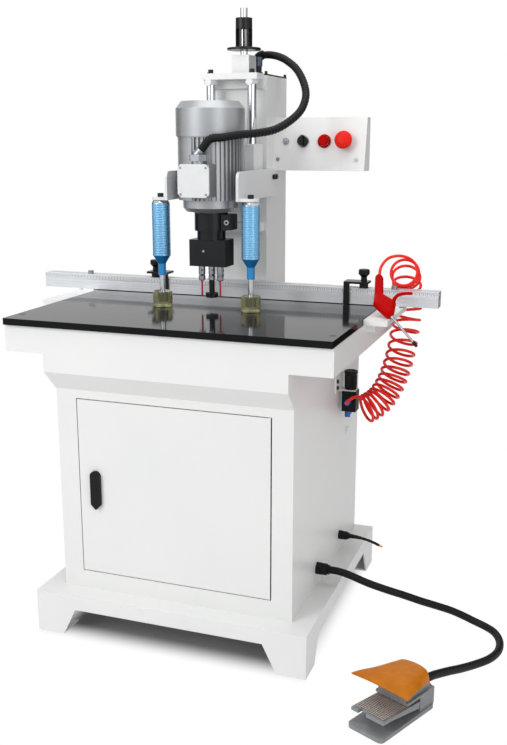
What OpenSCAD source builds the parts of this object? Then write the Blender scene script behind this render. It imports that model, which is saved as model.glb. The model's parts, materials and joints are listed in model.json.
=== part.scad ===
// Hinge boring machine: cabinet stand, table and fence, column with an air-fed boring head, clamps, pedal.
// The origin is on the floor under the middle of the plinth, +X to the right, +Y to the back, +Z up, in mm.

/* [Stand] */
// Width of the plinth
plinth_w = 750; // [700:10:820]
// Depth of the plinth
plinth_d = 722; // [690:2:800]
// Height of the plinth
plinth_h = 116; // [100:2:140]
// Sheet thickness of the plinth
plinth_t = 4; // [3:0.5:6]
// Width of a plinth foot on the floor
foot_w = 76; // [60:2:100]
// Height of the arch between two feet
arch_h = 76; // [60:2:90]
// How far the arch slopes in over its height
arch_slope = 38; // [20:2:60]
// Radius of the floor bolt holes
floor_hole_r = 7; // [5:0.5:9]
// Distance of a floor bolt from the plinth side
floor_bolt_in = 44; // [36:1:60]
// Width of the cabinet
cab_w = 640; // [600:10:700]
// Depth of the cabinet
cab_d = 648; // [600:4:690]
// Sheet thickness of the cabinet
cab_t = 3; // [2:0.5:5]
// Width of the door
door_w = 524; // [440:4:560]
// Height of the door
door_h = 472; // [400:4:500]
// Height of the door's lower edge above the plinth
door_rise = 51; // [40:1:60]
// Height of the cabinet front above the door
door_head = 25; // [20:1:40]
// Gap round the door
door_gap = 2.5; // [2:0.5:4]
// Radius of the door hinge pins
pin_r = 2; // [1.5:0.25:2.5]
// Depth of the folded door edges
door_fold = 14; // [10:1:20]
// Distance of the door handle from the door's left edge
handle_in = 47; // [40:1:60]
// Height of the door handle above the door's lower edge
handle_rise = 270; // [200:2:320]

/* [Bed and table] */
// Width of the bed under the table
bed_w = 857; // [800:1:900]
// Width of the narrow part of the bed
apron_w = 644; // [620:2:720]
// Height of the sloped band
slope_h = 54; // [40:2:70]
// Height of the narrow part
apron_h = 46; // [36:2:60]
// Height of the wide part
bed_h = 69; // [56:1:80]
// How far the bed stands out in front of the cabinet
bed_out = 53; // [40:1:70]
// Wall thickness of the bed
bed_t = 6; // [4:1:8]
// Width of the table plate
table_w = 854; // [800:1:900]
// Thickness of the table plate
table_t = 17; // [12:1:20]
// How far the table stands out in front of the bed
table_out = 9; // [4:1:16]
// Width of a fence support plate beside the bed
wing_w = 60; // [50:1:80]
// Depth of a fence support plate
wing_d = 250; // [220:2:280]
// Thickness of a fence support plate
wing_t = 14; // [10:1:16]
// How far the support plates lie below the table top
wing_drop = 2; // [1:0.5:4]

/* [Fence] */
// Length of the fence
fence_len = 1183; // [1100:1:1300]
// Depth of the fence
fence_d = 42; // [36:1:46]
// Height of the fence
fence_h = 43; // [38:1:50]
// Gap under the fence
fence_gap = 1.5; // [1:0.5:3]
// Distance from the spindle axis to the fence face
fence_reach = 147; // [130:1:150]
// Shift of the fence to the left
fence_shift = 11; // [0:1:20]
// Mouth of the T-slot
slot_w = 9; // [8:0.5:10]
// Place of the left stop's knob
stop_left_x = 245; // [200:5:400]
// Place of the right stop's knob
stop_right_x = 375; // [200:5:380]
// Distance from a stop's knob to its leg
stop_len = 50; // [40:1:60]
// Thickness of a stop plate
stop_t = 6; // [4:0.5:8]
// Radius of a stop knob
stop_knob_r = 15; // [12:1:18]

/* [Column] */
// Gap between the fence and the column
col_gap = 4; // [2:0.5:8]
// Width of the column
col_w = 175; // [160:1:200]
// Depth of the column
col_d = 173; // [160:1:178]
// Height of the column above the bed
col_h = 619; // [580:1:660]
// Wall of the column
col_t = 8; // [6:1:12]
// Thickness of the column cap
cap_t = 4; // [3:0.5:6]
// Radius of a guide rod
rod_r = 12; // [10:0.5:14]
// Distance of a guide rod from the middle
rod_x = 59; // [55:1:66]
// Distance of the guide rods in front of the column
rod_out = 41; // [36:1:46]
// Thickness of the upper rod holder
holder_t = 16; // [12:1:20]
// Thickness of the lower rod holder
low_holder_t = 24; // [16:1:30]
// Length of the guide rods between the holders
rod_len = 380; // [360:2:400]
// Clearance round sliding and turning shafts
fit = 0.05; // [0.03:0.01:0.09]

/* [Feed] */
// Distance from the spindle axis to the feed rod
feed_back = 252; // [244:1:260]
// Radius of the feed rod
feed_r = 10; // [8:0.5:12]
// Outer radius of the feed cylinder
feed_tube_r = 36; // [32:1:40]
// Wall of the feed cylinder
feed_wall = 4.5; // [3.5:0.5:6]
// Length of the feed cylinder below the cap
feed_tube_len = 208; // [190:2:220]
// Height of the end block on top of the cap
block_h = 53; // [40:1:60]
// Boring depth set at the depth stop
bore_depth = 14; // [8:0.5:20]
// Radius of the stop disc
disc_r = 47; // [40:1:52]
// Thickness of the stop disc
disc_t = 6; // [5:0.5:10]
// Radius of the stop barrel
barrel_r = 23; // [18:1:26]
// Height of the stop barrel
barrel_h = 78; // [60:1:84]
// Length of feed rod above the barrel
feed_tip = 26; // [24:1:40]

/* [Motor] */
// Distance of the spindle axis in front of the plinth's middle
spin_out = 20; // [10:1:30]
// Radius over the motor fins
motor_r = 86; // [84:1:92]
// Depth of the motor fins
fin_d = 7; // [4:0.5:10]
// Number of motor fins
fin_count = 44; // [30:2:60]
// Height of the motor body
motor_h = 166; // [140:2:180]
// Radius of the fan cowl
cowl_r = 89; // [88:1:94]
// Height of the fan cowl
cowl_h = 81; // [80:1:100]
// Radius of the motor flange
flange_r = 73; // [70:1:86]
// Thickness of the motor flange
flange_t = 30; // [24:1:36]
// Radius of the motor shaft
shaft_r = 12; // [9:0.5:14]
// Radius of the rotor
rotor_r = 51; // [40:1:60]
// Width of the terminal box
term_w = 85; // [70:1:96]
// Height of the terminal box
term_h = 80; // [70:1:90]
// Distance of the terminal cover from the motor axis
term_reach = 130; // [124:1:136]

/* [Boring head] */
// Outer radius of the clamp ring
ring_r = 44; // [40:1:48]
// Height of the clamp ring
ring_h = 46; // [40:1:50]
// Radius of the clamped spigots
spigot_r = 30; // [26:0.5:34]
// Gap between the motor flange and the clamp ring
ring_gap = 4; // [2:0.5:6]
// Radius of the housing's neck
neck_r = 37.5; // [34:0.5:42]
// Height of the housing's neck
neck_h = 23; // [16:1:28]
// Width of the gear housing
head_w = 102; // [94:1:110]
// Depth of the gear housing
head_d = 62; // [58:1:70]
// Height of the gear housing
head_h = 70; // [60:1:80]
// Spacing of the two dowel drills
drill_spacing = 52; // [45:1:56]
// How far the dowel drills stand in front of the hinge bit
drill_offset = 5.5; // [4:0.5:9.5]
// Teeth of each spindle gear
gear_teeth = 22; // [18:1:26]
// Radius of a spindle in its bearing
spindle_r = 8; // [6:0.5:9]
// Radius of a chuck
chuck_r = 9; // [8:0.5:11]
// Length of a chuck
chuck_len = 40; // [32:1:48]
// Diameter of the hinge bit
bit_d = 35; // [26:1:40]
// Length of the hinge bit below its chuck
bit_len = 45; // [40:1:50]
// Diameter of a dowel drill
drill_d = 5; // [4:0.5:10]

/* [Clamps] */
// Distance of a clamp from the middle
clamp_x = 125.5; // [118:0.5:136]
// Distance of the clamps in front of the spindle axis
clamp_out = 42; // [30:1:50]
// Radius of a clamp cylinder
clamp_r = 24; // [20:0.5:26]
// Length of the straight part of a clamp cylinder
clamp_len = 145; // [130:1:170]
// Length of the cone under a clamp cylinder
clamp_cone = 22; // [16:1:44]
// Length of the sleeve under the cone
clamp_sleeve = 31; // [6:1:34]
// Radius of a clamp rod
clamp_rod_r = 7.5; // [7:0.5:8]
// Radius of a clamp pad
pad_r = 26; // [20:1:30]
// Height of a clamp pad
pad_h = 40; // [30:1:50]
// Gap under a clamp pad
pad_gap = 0.3; // [0.2:0.1:1]
// Thickness of a clamp bracket
bracket_t = 7; // [5:0.5:8]
// Height of a clamp bracket
bracket_h = 74; // [60:1:80]
// Gap between the motor and a clamp bracket
bracket_gap = 8.5; // [3:0.5:9]

/* [Controls] */
// Height of the control box above the bed
box_rise = 367; // [340:1:400]
// Distance of the control box behind the column's front
box_set_back = 49; // [30:1:60]
// Height of the knobs above the control box's lower edge
dial_rise = 79; // [60:1:90]
// Distance of the selector from the column
selector_in = 84; // [70:1:100]
// Distance of the push button from the column
push_in = 145; // [130:1:160]
// Distance of the emergency stop from the column
estop_in = 204; // [190:1:210]
// Width of the control box
box_w = 262; // [230:2:290]
// Height of the control box
box_h = 143; // [120:1:160]
// Depth of the control box at its foot
box_d = 63; // [54:1:70]
// How far the front leans back at the top
box_lean = 28; // [10:1:34]
// Wall of the control box
box_t = 2; // [1.5:0.5:3]
// Radius of the selector knob
selector_r = 14; // [11:0.5:17]
// Radius of the push button
push_r = 13.5; // [9:0.5:15]
// Radius of the emergency stop button
estop_r = 24; // [18:0.5:26]

/* [Air service] */
// Side of the regulator body
reg_w = 40; // [32:1:46]
// Height of the regulator body
reg_h = 58; // [46:1:66]
// Radius of the regulator knob
reg_knob_r = 16; // [13:0.5:19]
// Height of the regulator knob
reg_knob_h = 49; // [38:1:54]
// Radius of a push-in fitting
fitting_r = 8; // [7:0.5:10]
// Radius of the curly hose tube
curl_tube_r = 4; // [3:0.5:4]
// Radius of the curls
curl_r = 37; // [30:1:38]
// Number of curls
curl_count = 19.5; // [12:0.5:19.5]
// Radius of the air gun handle
gun_r = 11; // [9:0.5:13]
// Radius of the air gun nozzle
nozzle_r = 3; // [2:0.5:4]

/* [Pedal and cords] */
// Width of the pedal base
pedal_w = 90; // [80:1:100]
// Length of the pedal base
pedal_len = 205; // [190:1:220]
// Thickness of the pedal base
pedal_t = 10; // [8:1:14]
// Thickness of the treadle
treadle_t = 8; // [6:0.5:10]
// Length of the treadle in front of its pin
treadle_len = 178; // [160:1:184]
// Radius of the treadle pin
treadle_pin_r = 4; // [3:0.5:5]
// Radius of the black conduit
conduit_r = 10.5; // [9:0.5:11]
// Ribs on the black conduit
conduit_ribs = 72; // [50:1:90]
// Radius of the pedal hose
hose_r = 10; // [8:0.5:10]
// Radius of the mains stub
mains_r = 4; // [3:0.5:4.5]

/* [Hidden] */
$fn = 64;
eps = 1;

// Levels of the stand, from the floor up
cab_h = door_rise + door_h + door_head;
cab_top = plinth_h + cab_h;
apron_z = cab_top + slope_h;
bed_z = apron_z + apron_h;
bed_top = bed_z + bed_h;
table_top = bed_top + table_t;
wing_top = table_top - wing_drop;
fence_z = table_top + fence_gap;
fence_top = fence_z + fence_h;

// Fronts and backs
spin_y = -spin_out;
fence_y = spin_y + fence_reach;
col_front = fence_y + fence_d + col_gap;
cab_back = col_front + col_d;
cab_front = cab_back - cab_d;
bed_front = cab_front - bed_out;
table_clear = 5;
table_back = col_front - table_clear;
wing_back = fence_y + fence_d + 6;

// Door: the hinge axis lies just inside its right edge
door_x = door_w / 2;
door_z = plinth_h + door_rise;
hinge_in = 2.5;
hinge_x = door_x - hinge_in;
hinge_y = cab_front + cab_t + pin_r + 0.2;
hinge_clear = 3.5;
ear_t = 4;
handle_x = handle_in - door_x;
handle_z = door_z + handle_rise;
handle_r = 14;
handle_len = 78;
handle_t = 9;
handle_gap = 0.5;
latch_r = 5;
latch_len = 62;
latch_w = 16;
latch_t = 3;
latch_gap = 0.8;

// Column, rods and feed
col_top = bed_top + col_h;
cap_top = col_top + cap_t;
rod_y = col_front - rod_out;
holder_d = 61;
holder_w = 160;
holder_top = cap_top;
rod_top = holder_top - holder_t;
rod_low = rod_top - rod_len;
feed_y = spin_y + feed_back;
block_w = 50;
block_d = 60;
block_top = cap_top + block_h;
block_neck_r = 24;
tube_low = col_top - feed_tube_len;
tube_end = 20;
disc_z = block_top + bore_depth;
barrel_z = disc_z + disc_t;
feed_top = barrel_z + barrel_h + feed_tip;
piston_t = 22;
piston_z = tube_low + tube_end + 26;
piston_gap = 0.1;
slot_half = 38;
slot_low = rod_low + 60;

// Motor and head, hung from the table up by the bit
bit_tip_clear = 24;
chuck_z = table_top + bit_tip_clear + bit_len;
head_z = chuck_z + chuck_len;
neck_z = head_z + head_h;
ring_z = neck_z + neck_h;
flange_z = ring_z + ring_h + ring_gap;
motor_z = flange_z + flange_t;
cowl_z = motor_z + motor_h;
cowl_lap = 6;
cowl_wall = 2;
seat_gap = 0.3;
shield_t = 8;
rotor_clear = 1;
spigot_len = 28;
carriage_t = 18;
carriage_y = spin_y + motor_r + 18;
carriage_z = motor_z + 10;
carriage_h = 130;
slide_w = 46;
slide_back = 24;
arm_w = 44;
arm_h = 22;
arm_z = carriage_z + 10;
slot_over = 66;
slot_high = arm_z + arm_h + slot_over;
collar_h = 8;
term_x = 5;
term_z = motor_z + 12;
term_t = 4.5;
term_cut = 9;
gland_x = 10;
gland_y = spin_y - term_reach + 21;
gland_z = term_z + term_h;
gland_r = 23;
gland_hex_h = 24;
gland_neck = 16;
gland_tilt = 42;

// Spindles: the dowel drills stand either side of the hinge bit and a little in front
drill_x = drill_spacing / 2;
drill_y = spin_y - drill_offset;
gear_pitch_r = norm([drill_x, drill_offset]) / 2;
gear_step = 360 / gear_teeth;
gear_t = 18;
gear_z = head_z + 30;
cavity_z = gear_z - 4;
cavity_h = gear_t + 8;
cavity_wall = 8;
tooth_add = 0.8;
tooth_ded = 1.1;
tooth_root = 0.30;
tooth_tip = 0.15;
right_angle = atan2(-drill_offset, drill_x);
left_angle = 180 - right_angle;
left_gap = right_angle + gear_step * (floor((left_angle - right_angle) / gear_step) + 0.5);
left_phase = left_angle - 180 - (left_gap - left_angle);
right_phase = right_angle + 180 + gear_step / 2;

// Clamps
clamp_y = spin_y - clamp_out;
pad_z = table_top + pad_gap;
clamp_rod_z = pad_z + pad_h;
rod_show = 43;
sleeve_z = clamp_rod_z + rod_show;
cone_z = sleeve_z + clamp_sleeve;
clamp_z = cone_z + clamp_cone;
clamp_top = clamp_z + clamp_len;
sleeve_r = 10.5;
clamp_bore_r = 20;
clamp_piston_t = 15;
sleeve_ribs = 30;
sleeve_step = (clamp_len - 12) / sleeve_ribs;
groove_d = 0.7;
clamp_rise = 24;
clamp_bolt_r = 6;
clamp_bolt_in = 13;
bracket_x = motor_r + bracket_gap;
bracket_front = clamp_y - 26;
bracket_z = clamp_top;
bracket_back = col_front + 46;

// Control box on the column's right side
box_x = col_w / 2;
box_z = bed_top + box_rise;
box_front = col_front + box_set_back;
box_tilt = atan2(box_lean, box_h);
dial_z = box_z + dial_rise;
dial_y = box_front + (dial_z - box_z) * box_lean / box_h;
selector_x = box_x + selector_in;
push_x = box_x + push_in;
estop_x = box_x + estop_in;
stem_r = 6;
button_gap = 6;
button_stem = 30;

// Regulator on the cabinet's right side
side_x = cab_w / 2;
reg_x = side_x + 30;
reg_y = 130;
reg_drop = 112;
reg_z = cab_top - reg_drop;
reg_top = reg_z + reg_h;
reg_neck_r = 11;
reg_neck_h = 14;
reg_plate_t = 3;
knob_lift = 0.5;

// Elbow on the cap, where the conduit starts
elbow_x = 16;
elbow_back = 122;
elbow_bend = 18;
elbow_rise = 58;
elbow_r = 13;
elbow_end = [elbow_x + elbow_bend, col_front + elbow_back, cap_top + elbow_rise];
gland_dir = [sin(gland_tilt), 0, cos(gland_tilt)];
gland_end = [gland_x, gland_y, gland_z + gland_hex_h] + gland_neck * gland_dir;
straight = 22;
gland_straight = 34;
cord_gap = 0.4;
conduit_gap = 1.6;

// Pedal place and turn on the floor
pedal_pos = [side_x + 240, -532, 0];
pedal_turn = -25;
function pedal_point(p) = pedal_pos + [p.x * cos(pedal_turn) - p.y * sin(pedal_turn),
    p.x * sin(pedal_turn) + p.y * cos(pedal_turn), p.z];

// Cord routes, chosen by hand. Those on the right are given from the cabinet's side, the gun and its end
// of the air
// hose from the bed's side, and the air hose and gun from the cabinet's top
function beside(p, up = 0, out = side_x) = [for (q = p) [out + q.x, q.y, up + q.z]];
conduit_middle = [[87, 279, 674], [120, 250, 660], [156, 220, 636], [186, 187, 600], [204, 150, 563],
    [204, 108, 526], [189, 60, 497.5], [166.5, 6, 476], [140, -50, 467], [109, -94, 463], [77, -120, 457]];
conduit_route = concat([elbow_end + [conduit_gap, 0, 0], elbow_end + [straight, 0, 0]],
    [for (p = conduit_middle) p + [0, 0, bed_top]],
    [gland_end + gland_straight * gland_dir, gland_end + conduit_gap * gland_dir]);
hose_floor = [[36 + cord_gap, -80, 164], [58, -80, 164], [90, -80, 158], [140, -78, 142], [192, -65, 124],
    [232, -46, 107], [270, -25, 88], [308, 1, 68], [346, 26, 48], [378, 42, 30], [408, 46, 17],
    [438, 38, 11], [462, 18, 10.6], [478, -10, 10.6], [486, -43, 10.6], [486, -78, 10.6], [479, -110, 10.6],
    [466, -142, 10.6], [448, -172, 11], [428, -204, 18], [408, -240, 32], [388, -276, 50]];
hose_route = concat(beside(hose_floor), [for (y = [45, 24, 0]) pedal_point([22, pedal_len + y, 62])]);
mains_route = beside([[30 + cord_gap, 155, 165], [42, 155, 165], [60, 157, 163], [80, 161, 158],
    [100, 166, 150],
    [116, 170, 142]]);
curl_lead = beside([[30, 92 - cord_gap, -82], [30.9, 79.6, -80.4], [33.7, 70.3, -76.3], [43.8, 57.8, -64],
    [58.9, 50.3, -52.4], [77.9, 44, -48.6]], cab_top);
curl_axis = concat(beside([[88, 60, -85], [104, 74, -77], [122, 92, -62], [140, 118, -30]], cab_top),
    beside([[43.5, 146, 12], [49.5, 178, 58], [51.5, 208, 108], [51.5, 226, 156], [50.5, 232, 202],
    [49.5, 218, 244], [49.5, 192, 268], [49.5, 160, 278]], cab_top, bed_w / 2));
curl_tail = beside([[48, 172.5, 316], [26.1, 163.8, 316.9], [8.5, 148.7, 310.2], [-1.5, 118, 292],
    [3, 79.7, 269]], cab_top, bed_w / 2);
// Curls made by the time the hose passes each point of its axis
curl_turns = [0, 1.8, 3.7, 6.1, 8.5, 10.6, 12.4, 14, 15.5, 17, 18.4, 20];
gun_inlet = curl_tail[len(curl_tail) - 1];
gun_points = beside([[17.5, 14, 230], [21.5, -20, 216], [55.5, -6, 216], [54.5, -34, 197], [133.5, -70, 126],
    [61.5, -4, 226], [77.5, 0, 240], [105.5, 5, 244]], cab_top, bed_w / 2);
inlet_clear = 0.65 * curl_tube_r;
gun_grip = gun_points[0];
gun_left = gun_points[1];
gun_right = gun_points[2];
gun_low = gun_points[3];
gun_tip = gun_points[4];
gun_pivot = gun_points[5];
gun_bend = gun_points[6];
gun_lever_end = gun_points[7];
nozzle_dir = unit(gun_tip - gun_low);
gun_port = gun_low + 12 * nozzle_dir;

// Pedal pieces
base_out = 4;
corner_r = 12;
cheek_t = 6;
cheek_front = 150;
skirt_h = 9;
skirt_from = 40;
valve_front = 100;
valve_z = 46;
valve_h = 40;
valve_w = 76;
deck_t = 6;
pin_y = 188;
pin_z = 30;
treadle_front_z = 44;
treadle_clear = 1.5;
rib_step = 6;
rib_w = 3;
rib_h = 1.5;
treadle_tilt = atan2(treadle_front_z - pin_z, treadle_len);
hood_t = 3;
hood_front = 50;
hood_back = 178;
hood_low_half = 78;
hood_low_z = 101;
hood_high_half = 44;
hood_high_z = 116;
hood_back_low_half = 50;
hood_back_drop = 14;
hood_back_high_half = 40;
hood_back_rise = 14;

// Point on a smooth curve through a list of points; u runs from 0 to the last index
function at(p, i) = p[max(0, min(len(p) - 1, i))];
function curve(p, u) =
    let (i = min(floor(u), len(p) - 2), t = u - i, a = at(p, i - 1), b = at(p, i), c = at(p, i + 1),
        d = at(p, i + 2))
    b + 0.5 * t * (c - a + t * (2 * a - 5 * b + 4 * c - d + t * (3 * (b - c) + d - a)));
function unit(v) = v / norm(v);
function side_of(v) = unit(cross(v, abs(v.z) < 0.9 ? [0, 0, 1] : [1, 0, 0]));
function heading(p, i) = unit(at(p, i + 1) - at(p, i - 1));
// Sideways directions that turn as little as possible along a path
function frames(p) = [for (i = 0, n = side_of(heading(p, 0)); i < len(p);
    i = i + 1, n = i < len(p) ? unit(n - heading(p, i) * (n * heading(p, i))) : n) n];
// One ring of points for each point of a path, at the given radii
function rings(p, radii, sides) =
    let (n = frames(p))
    [for (i = [0:len(p) - 1]) let (b = cross(heading(p, i), n[i]))
        for (k = [0:sides - 1]) p[i] + radii[i] * (n[i] * cos(360 * k / sides) + b * sin(360 * k / sides))];
function walls(count, sides, start = 0, flip = false) =
    [for (i = [0:count - 2]) for (k = [0:sides - 1])
        let (a = start + i * sides + k, b = start + i * sides + (k + 1) % sides, c = b + sides, d = a + sides)
        each flip ? [[a, b, c], [a, c, d]] : [[a, c, b], [a, d, c]]];

// A closed tube along a path
module tube(p, r, sides) {
    points = rings(p, [for (q = p) r], sides);
    last = (len(p) - 1) * sides;
    polyhedron(points, concat(walls(len(p), sides),
        [[for (k = [0:sides - 1]) k]],
        [[for (k = [sides - 1:-1:0]) last + k]]), convexity = 10);
}

// A tube with ribs outside and a plain bore
module ribbed_tube(p, radii, bore_r, step, sides) {
    inner = [for (i = [0:step:len(p) - 1]) p[i]];
    outer_points = rings(p, radii, sides);
    inner_points = rings(inner, [for (q = inner) bore_r], sides);
    first = len(outer_points);
    outer_last = (len(p) - 1) * sides;
    inner_last = first + (len(inner) - 1) * sides;
    polyhedron(concat(outer_points, inner_points), concat(walls(len(p), sides),
        walls(len(inner), sides, first, true),
        [for (k = [0:sides - 1]) let (j = (k + 1) % sides)
            each [[k, j, first + j], [k, first + j, first + k]]],
        [for (k = [0:sides - 1]) let (j = (k + 1) % sides)
            each [[outer_last + k, inner_last + j, outer_last + j],
                [outer_last + k, inner_last + k, inner_last + j]]]),
        convexity = 10);
}

module at_z(x, y, z) { translate([x, y, z]) children(); }
module disc(r, h) { cylinder(r = r, h = h); }
module block(x, y, z, w, d, h) { translate([x - w / 2, y, z]) cube([w, d, h]); }
module along_x(x, y, z) { translate([x, y, z]) rotate([0, 90, 0]) children(); }
module along_y(x, y, z) { translate([x, y, z]) rotate([-90, 0, 0]) children(); }
module pair() { children(); mirror([1, 0, 0]) children(); }
module on_panel(x, out = 0) {
    translate([x, dial_y, dial_z]) rotate([90 - box_tilt, 0, 0]) translate([0, 0, out]) children();
}
module at_pedal() { translate(pedal_pos) rotate([0, 0, pedal_turn]) children(); }
// A socket head bolt: head above the seat, shank below it
module bolt(r, head_r, head_h, len) {
    disc(head_r, head_h);
    translate([0, 0, -len]) disc(r, len + head_h / 2);
}
bolt_fit = 0.2;

// Stand

module arch(length, depth) {
    rotate([90, 0, 0]) linear_extrude(depth + 2 * eps, center = true) polygon([
        [-length / 2 + foot_w, -eps], [length / 2 - foot_w, -eps],
        [length / 2 - foot_w - arch_slope, arch_h], [-length / 2 + foot_w + arch_slope, arch_h]]);
}

module base_plinth() {
    plate = 2 * floor_bolt_in - 12;
    color("whitesmoke") {
        difference() {
            block(0, -plinth_d / 2, 0, plinth_w, plinth_d, plinth_h);
            block(0, -plinth_d / 2 + plinth_t, -eps, plinth_w - 2 * plinth_t, plinth_d - 2 * plinth_t,
                plinth_h - plinth_t + eps);
            arch(plinth_w, plinth_d);
            rotate([0, 0, 90]) arch(plinth_d, plinth_w);
        }
        for (sx = [-1, 1], sy = [-1, 1]) difference() {
            translate([sx * (plinth_w / 2 - plate / 2 - 0.5), sy * (plinth_d / 2 - plate / 2 - 0.5),
                plinth_t / 2])
                cube([plate, plate, plinth_t], center = true);
            at_z(sx * (plinth_w / 2 - floor_bolt_in), sy * (plinth_d / 2 - floor_bolt_in), -eps)
                disc(floor_hole_r, plinth_t + 2 * eps);
        }
    }
}

module door_ear(z, up) {
    translate([hinge_x - 8, cab_front + cab_t - 0.5, up ? z : z - ear_t]) cube([30, 16, ear_t]);
    at_z(hinge_x, hinge_y, up ? z - 6 - door_gap : z - 0.5) disc(pin_r, 6.5 + door_gap);
}

module cabinet_shell() {
    open_h = door_h + 2 * door_gap;
    color("whitesmoke") {
        difference() {
            block(0, cab_front, plinth_h, cab_w, cab_d, cab_h);
            block(0, cab_front + cab_t, plinth_h - eps, cab_w - 2 * cab_t, cab_d - 2 * cab_t,
                cab_h + 2 * eps);
            translate([-door_x - door_gap, cab_front - eps, door_z - door_gap])
                cube([door_w + door_gap + hinge_clear, cab_t + 2 * eps, open_h]);
            at_reg_screws() at_z(0, 0, -reg_screw_len) disc(reg_screw_r + bolt_fit, reg_screw_len);
        }
        door_ear(door_z + door_h + door_gap, true);
        door_ear(door_z - door_gap, false);
    }
}

module door() {
    color("whitesmoke") difference() {
        union() {
            block(0, cab_front, door_z, door_w, cab_t, door_h);
            block(0, cab_front, door_z, door_w, door_fold, cab_t);
            block(0, cab_front, door_z + door_h - cab_t, door_w, door_fold, cab_t);
            translate([-door_x, cab_front, door_z]) cube([cab_t, door_fold, door_h]);
        }
        for (z = [door_z - eps, door_z + door_h - 2 * cab_t])
            at_z(hinge_x, hinge_y, z) disc(pin_r + fit, 2 * cab_t + eps);
        along_y(handle_x, cab_front - eps, handle_z) disc(latch_r + fit, cab_t + 2 * eps);
        translate([-door_x - eps, cab_front + cab_t, handle_z - latch_w])
            cube([cab_t + 2 * eps, door_fold, 2 * latch_w + latch_len]);
    }
}

module door_handle() {
    color("black") {
        along_y(handle_x, cab_front - handle_gap - handle_t, handle_z) disc(handle_r, handle_t);
        translate([0, cab_front - handle_gap, 0]) rotate([90, 0, 0]) linear_extrude(handle_t) polygon([
            [handle_x - handle_r, handle_z], [handle_x - handle_r, handle_z - handle_len],
            [handle_x, handle_z - handle_len - handle_r], [handle_x + handle_r, handle_z - handle_len],
            [handle_x + handle_r, handle_z]]);
        along_y(handle_x, cab_front - handle_gap - 1, handle_z)
            disc(latch_r, cab_t + handle_gap + latch_gap + latch_t + 1);
        block(handle_x, cab_front + cab_t + latch_gap, handle_z - latch_r, latch_w, latch_t,
            latch_len + latch_r);
    }
}

module bed_outline(inset) {
    polygon([[cab_front + inset, cab_top - inset / 2], [cab_front + inset, cab_top + inset / 2 + 0.01],
        [bed_front + inset, apron_z + inset / 2], [bed_front + inset, bed_z + eps],
        [cab_back - inset, bed_z + eps], [cab_back - inset, cab_top - inset / 2]]);
}

module wing() {
    wing_x = bed_w / 2;
    gusset_in = 40;
    gusset_w = 22;
    gusset_h = 24;
    difference() {
        union() {
            translate([wing_x - eps / 2, wing_back - wing_d, wing_top - wing_t])
                cube([wing_w + eps / 2, wing_d, wing_t]);
            translate([wing_x - eps / 2, wing_back - wing_d + gusset_in, wing_top - wing_t - gusset_h])
                cube([gusset_w, wing_d - 2 * gusset_in, gusset_h + eps]);
            translate([wing_x + 12, fence_y, wing_top - 1])
                cube([wing_w - 24, fence_d, fence_z - wing_top + 1]);
        }
        at_z(fence_bolt_x, fence_y + fence_d / 2, wing_top - wing_t - eps)
            disc(fence_bolt_r + bolt_fit, 3 * wing_t);
    }
}
fence_bolt_x = bed_w / 2 + wing_w / 2;
fence_bolt_r = 4;

module bed() {
    color("whitesmoke") {
        difference() {
            union() {
                rotate([90, 0, 90]) linear_extrude(apron_w, center = true) bed_outline(0);
                block(0, bed_front, bed_z, bed_w, cab_back - bed_front, bed_h);
            }
            rotate([90, 0, 90]) linear_extrude(apron_w - 2 * bed_t, center = true) bed_outline(bed_t);
            block(0, bed_front + bed_t, bed_z + bed_t, bed_w - 2 * bed_t, cab_back - bed_front - 2 * bed_t,
                bed_h - 2 * bed_t);
            block(0, bed_front + bed_t, bed_z - eps, apron_w - 2 * bed_t, cab_back - bed_front - 2 * bed_t,
                bed_t + 2 * eps);
            for (sx = [-1, 1], y = table_screw_ys) at_z(sx * table_screw_x, y, bed_top - bed_t - eps)
                disc(table_screw_r + bolt_fit, bed_t + 2 * eps);
        }
        pair() wing();
    }
}

table_screw_x = table_w / 2 - 17;
table_screw_r = 4;
table_screw_head = 8;
table_screw_ys = [bed_front + 54, table_back - 22];

module table_plate() {
    front = bed_front - table_out;
    color([0.09, 0.09, 0.1]) difference() {
        block(0, front, bed_top, table_w, table_back - front, table_t);
        for (sx = [-1, 1], y = table_screw_ys) {
            at_z(sx * table_screw_x, y, bed_top - eps) disc(table_screw_r + bolt_fit, table_t + 2 * eps);
            at_z(sx * table_screw_x, y, table_top - table_screw_r - bolt_fit)
                cylinder(r1 = table_screw_r + bolt_fit, r2 = table_screw_head + bolt_fit + eps,
                    h = table_screw_head - table_screw_r + bolt_fit + eps);
        }
    }
}

// Fence and stops

module fence() {
    mid = fence_y + fence_d / 2;
    color("silver") difference() {
        rotate([90, 0, 90]) translate([0, 0, -fence_len / 2 - fence_shift]) linear_extrude(fence_len)
            difference() {
            translate([fence_y, fence_z]) square([fence_d, fence_h]);
            translate([mid - slot_w / 2, fence_top - 12]) square([slot_w, 12 + eps]);
            translate([mid - slot_w, fence_top - 11]) square([2 * slot_w, 7]);
            translate([fence_y + 3, fence_z + 3]) square([fence_d - 6, fence_h - 20]);
            for (z = [12, 18]) translate([fence_y - eps, fence_z + z]) square([eps + 1, 1.5]);
            translate([fence_y - eps, fence_z + 26]) square([eps + 0.5, 14]);
        }
        for (x = [-fence_bolt_x, fence_bolt_x]) at_z(x, mid, fence_z - eps)
            disc(fence_bolt_r + bolt_fit, fence_h + 2 * eps);
    }
}

// A stop: a plate held above the fence on a spacer, bent down in front of its face; dir points from the
// knob to
// the leg
stop_lift = 12;
spacer_r = 12;
stop_seat = fence_top + seat_gap + stop_lift;

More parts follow.
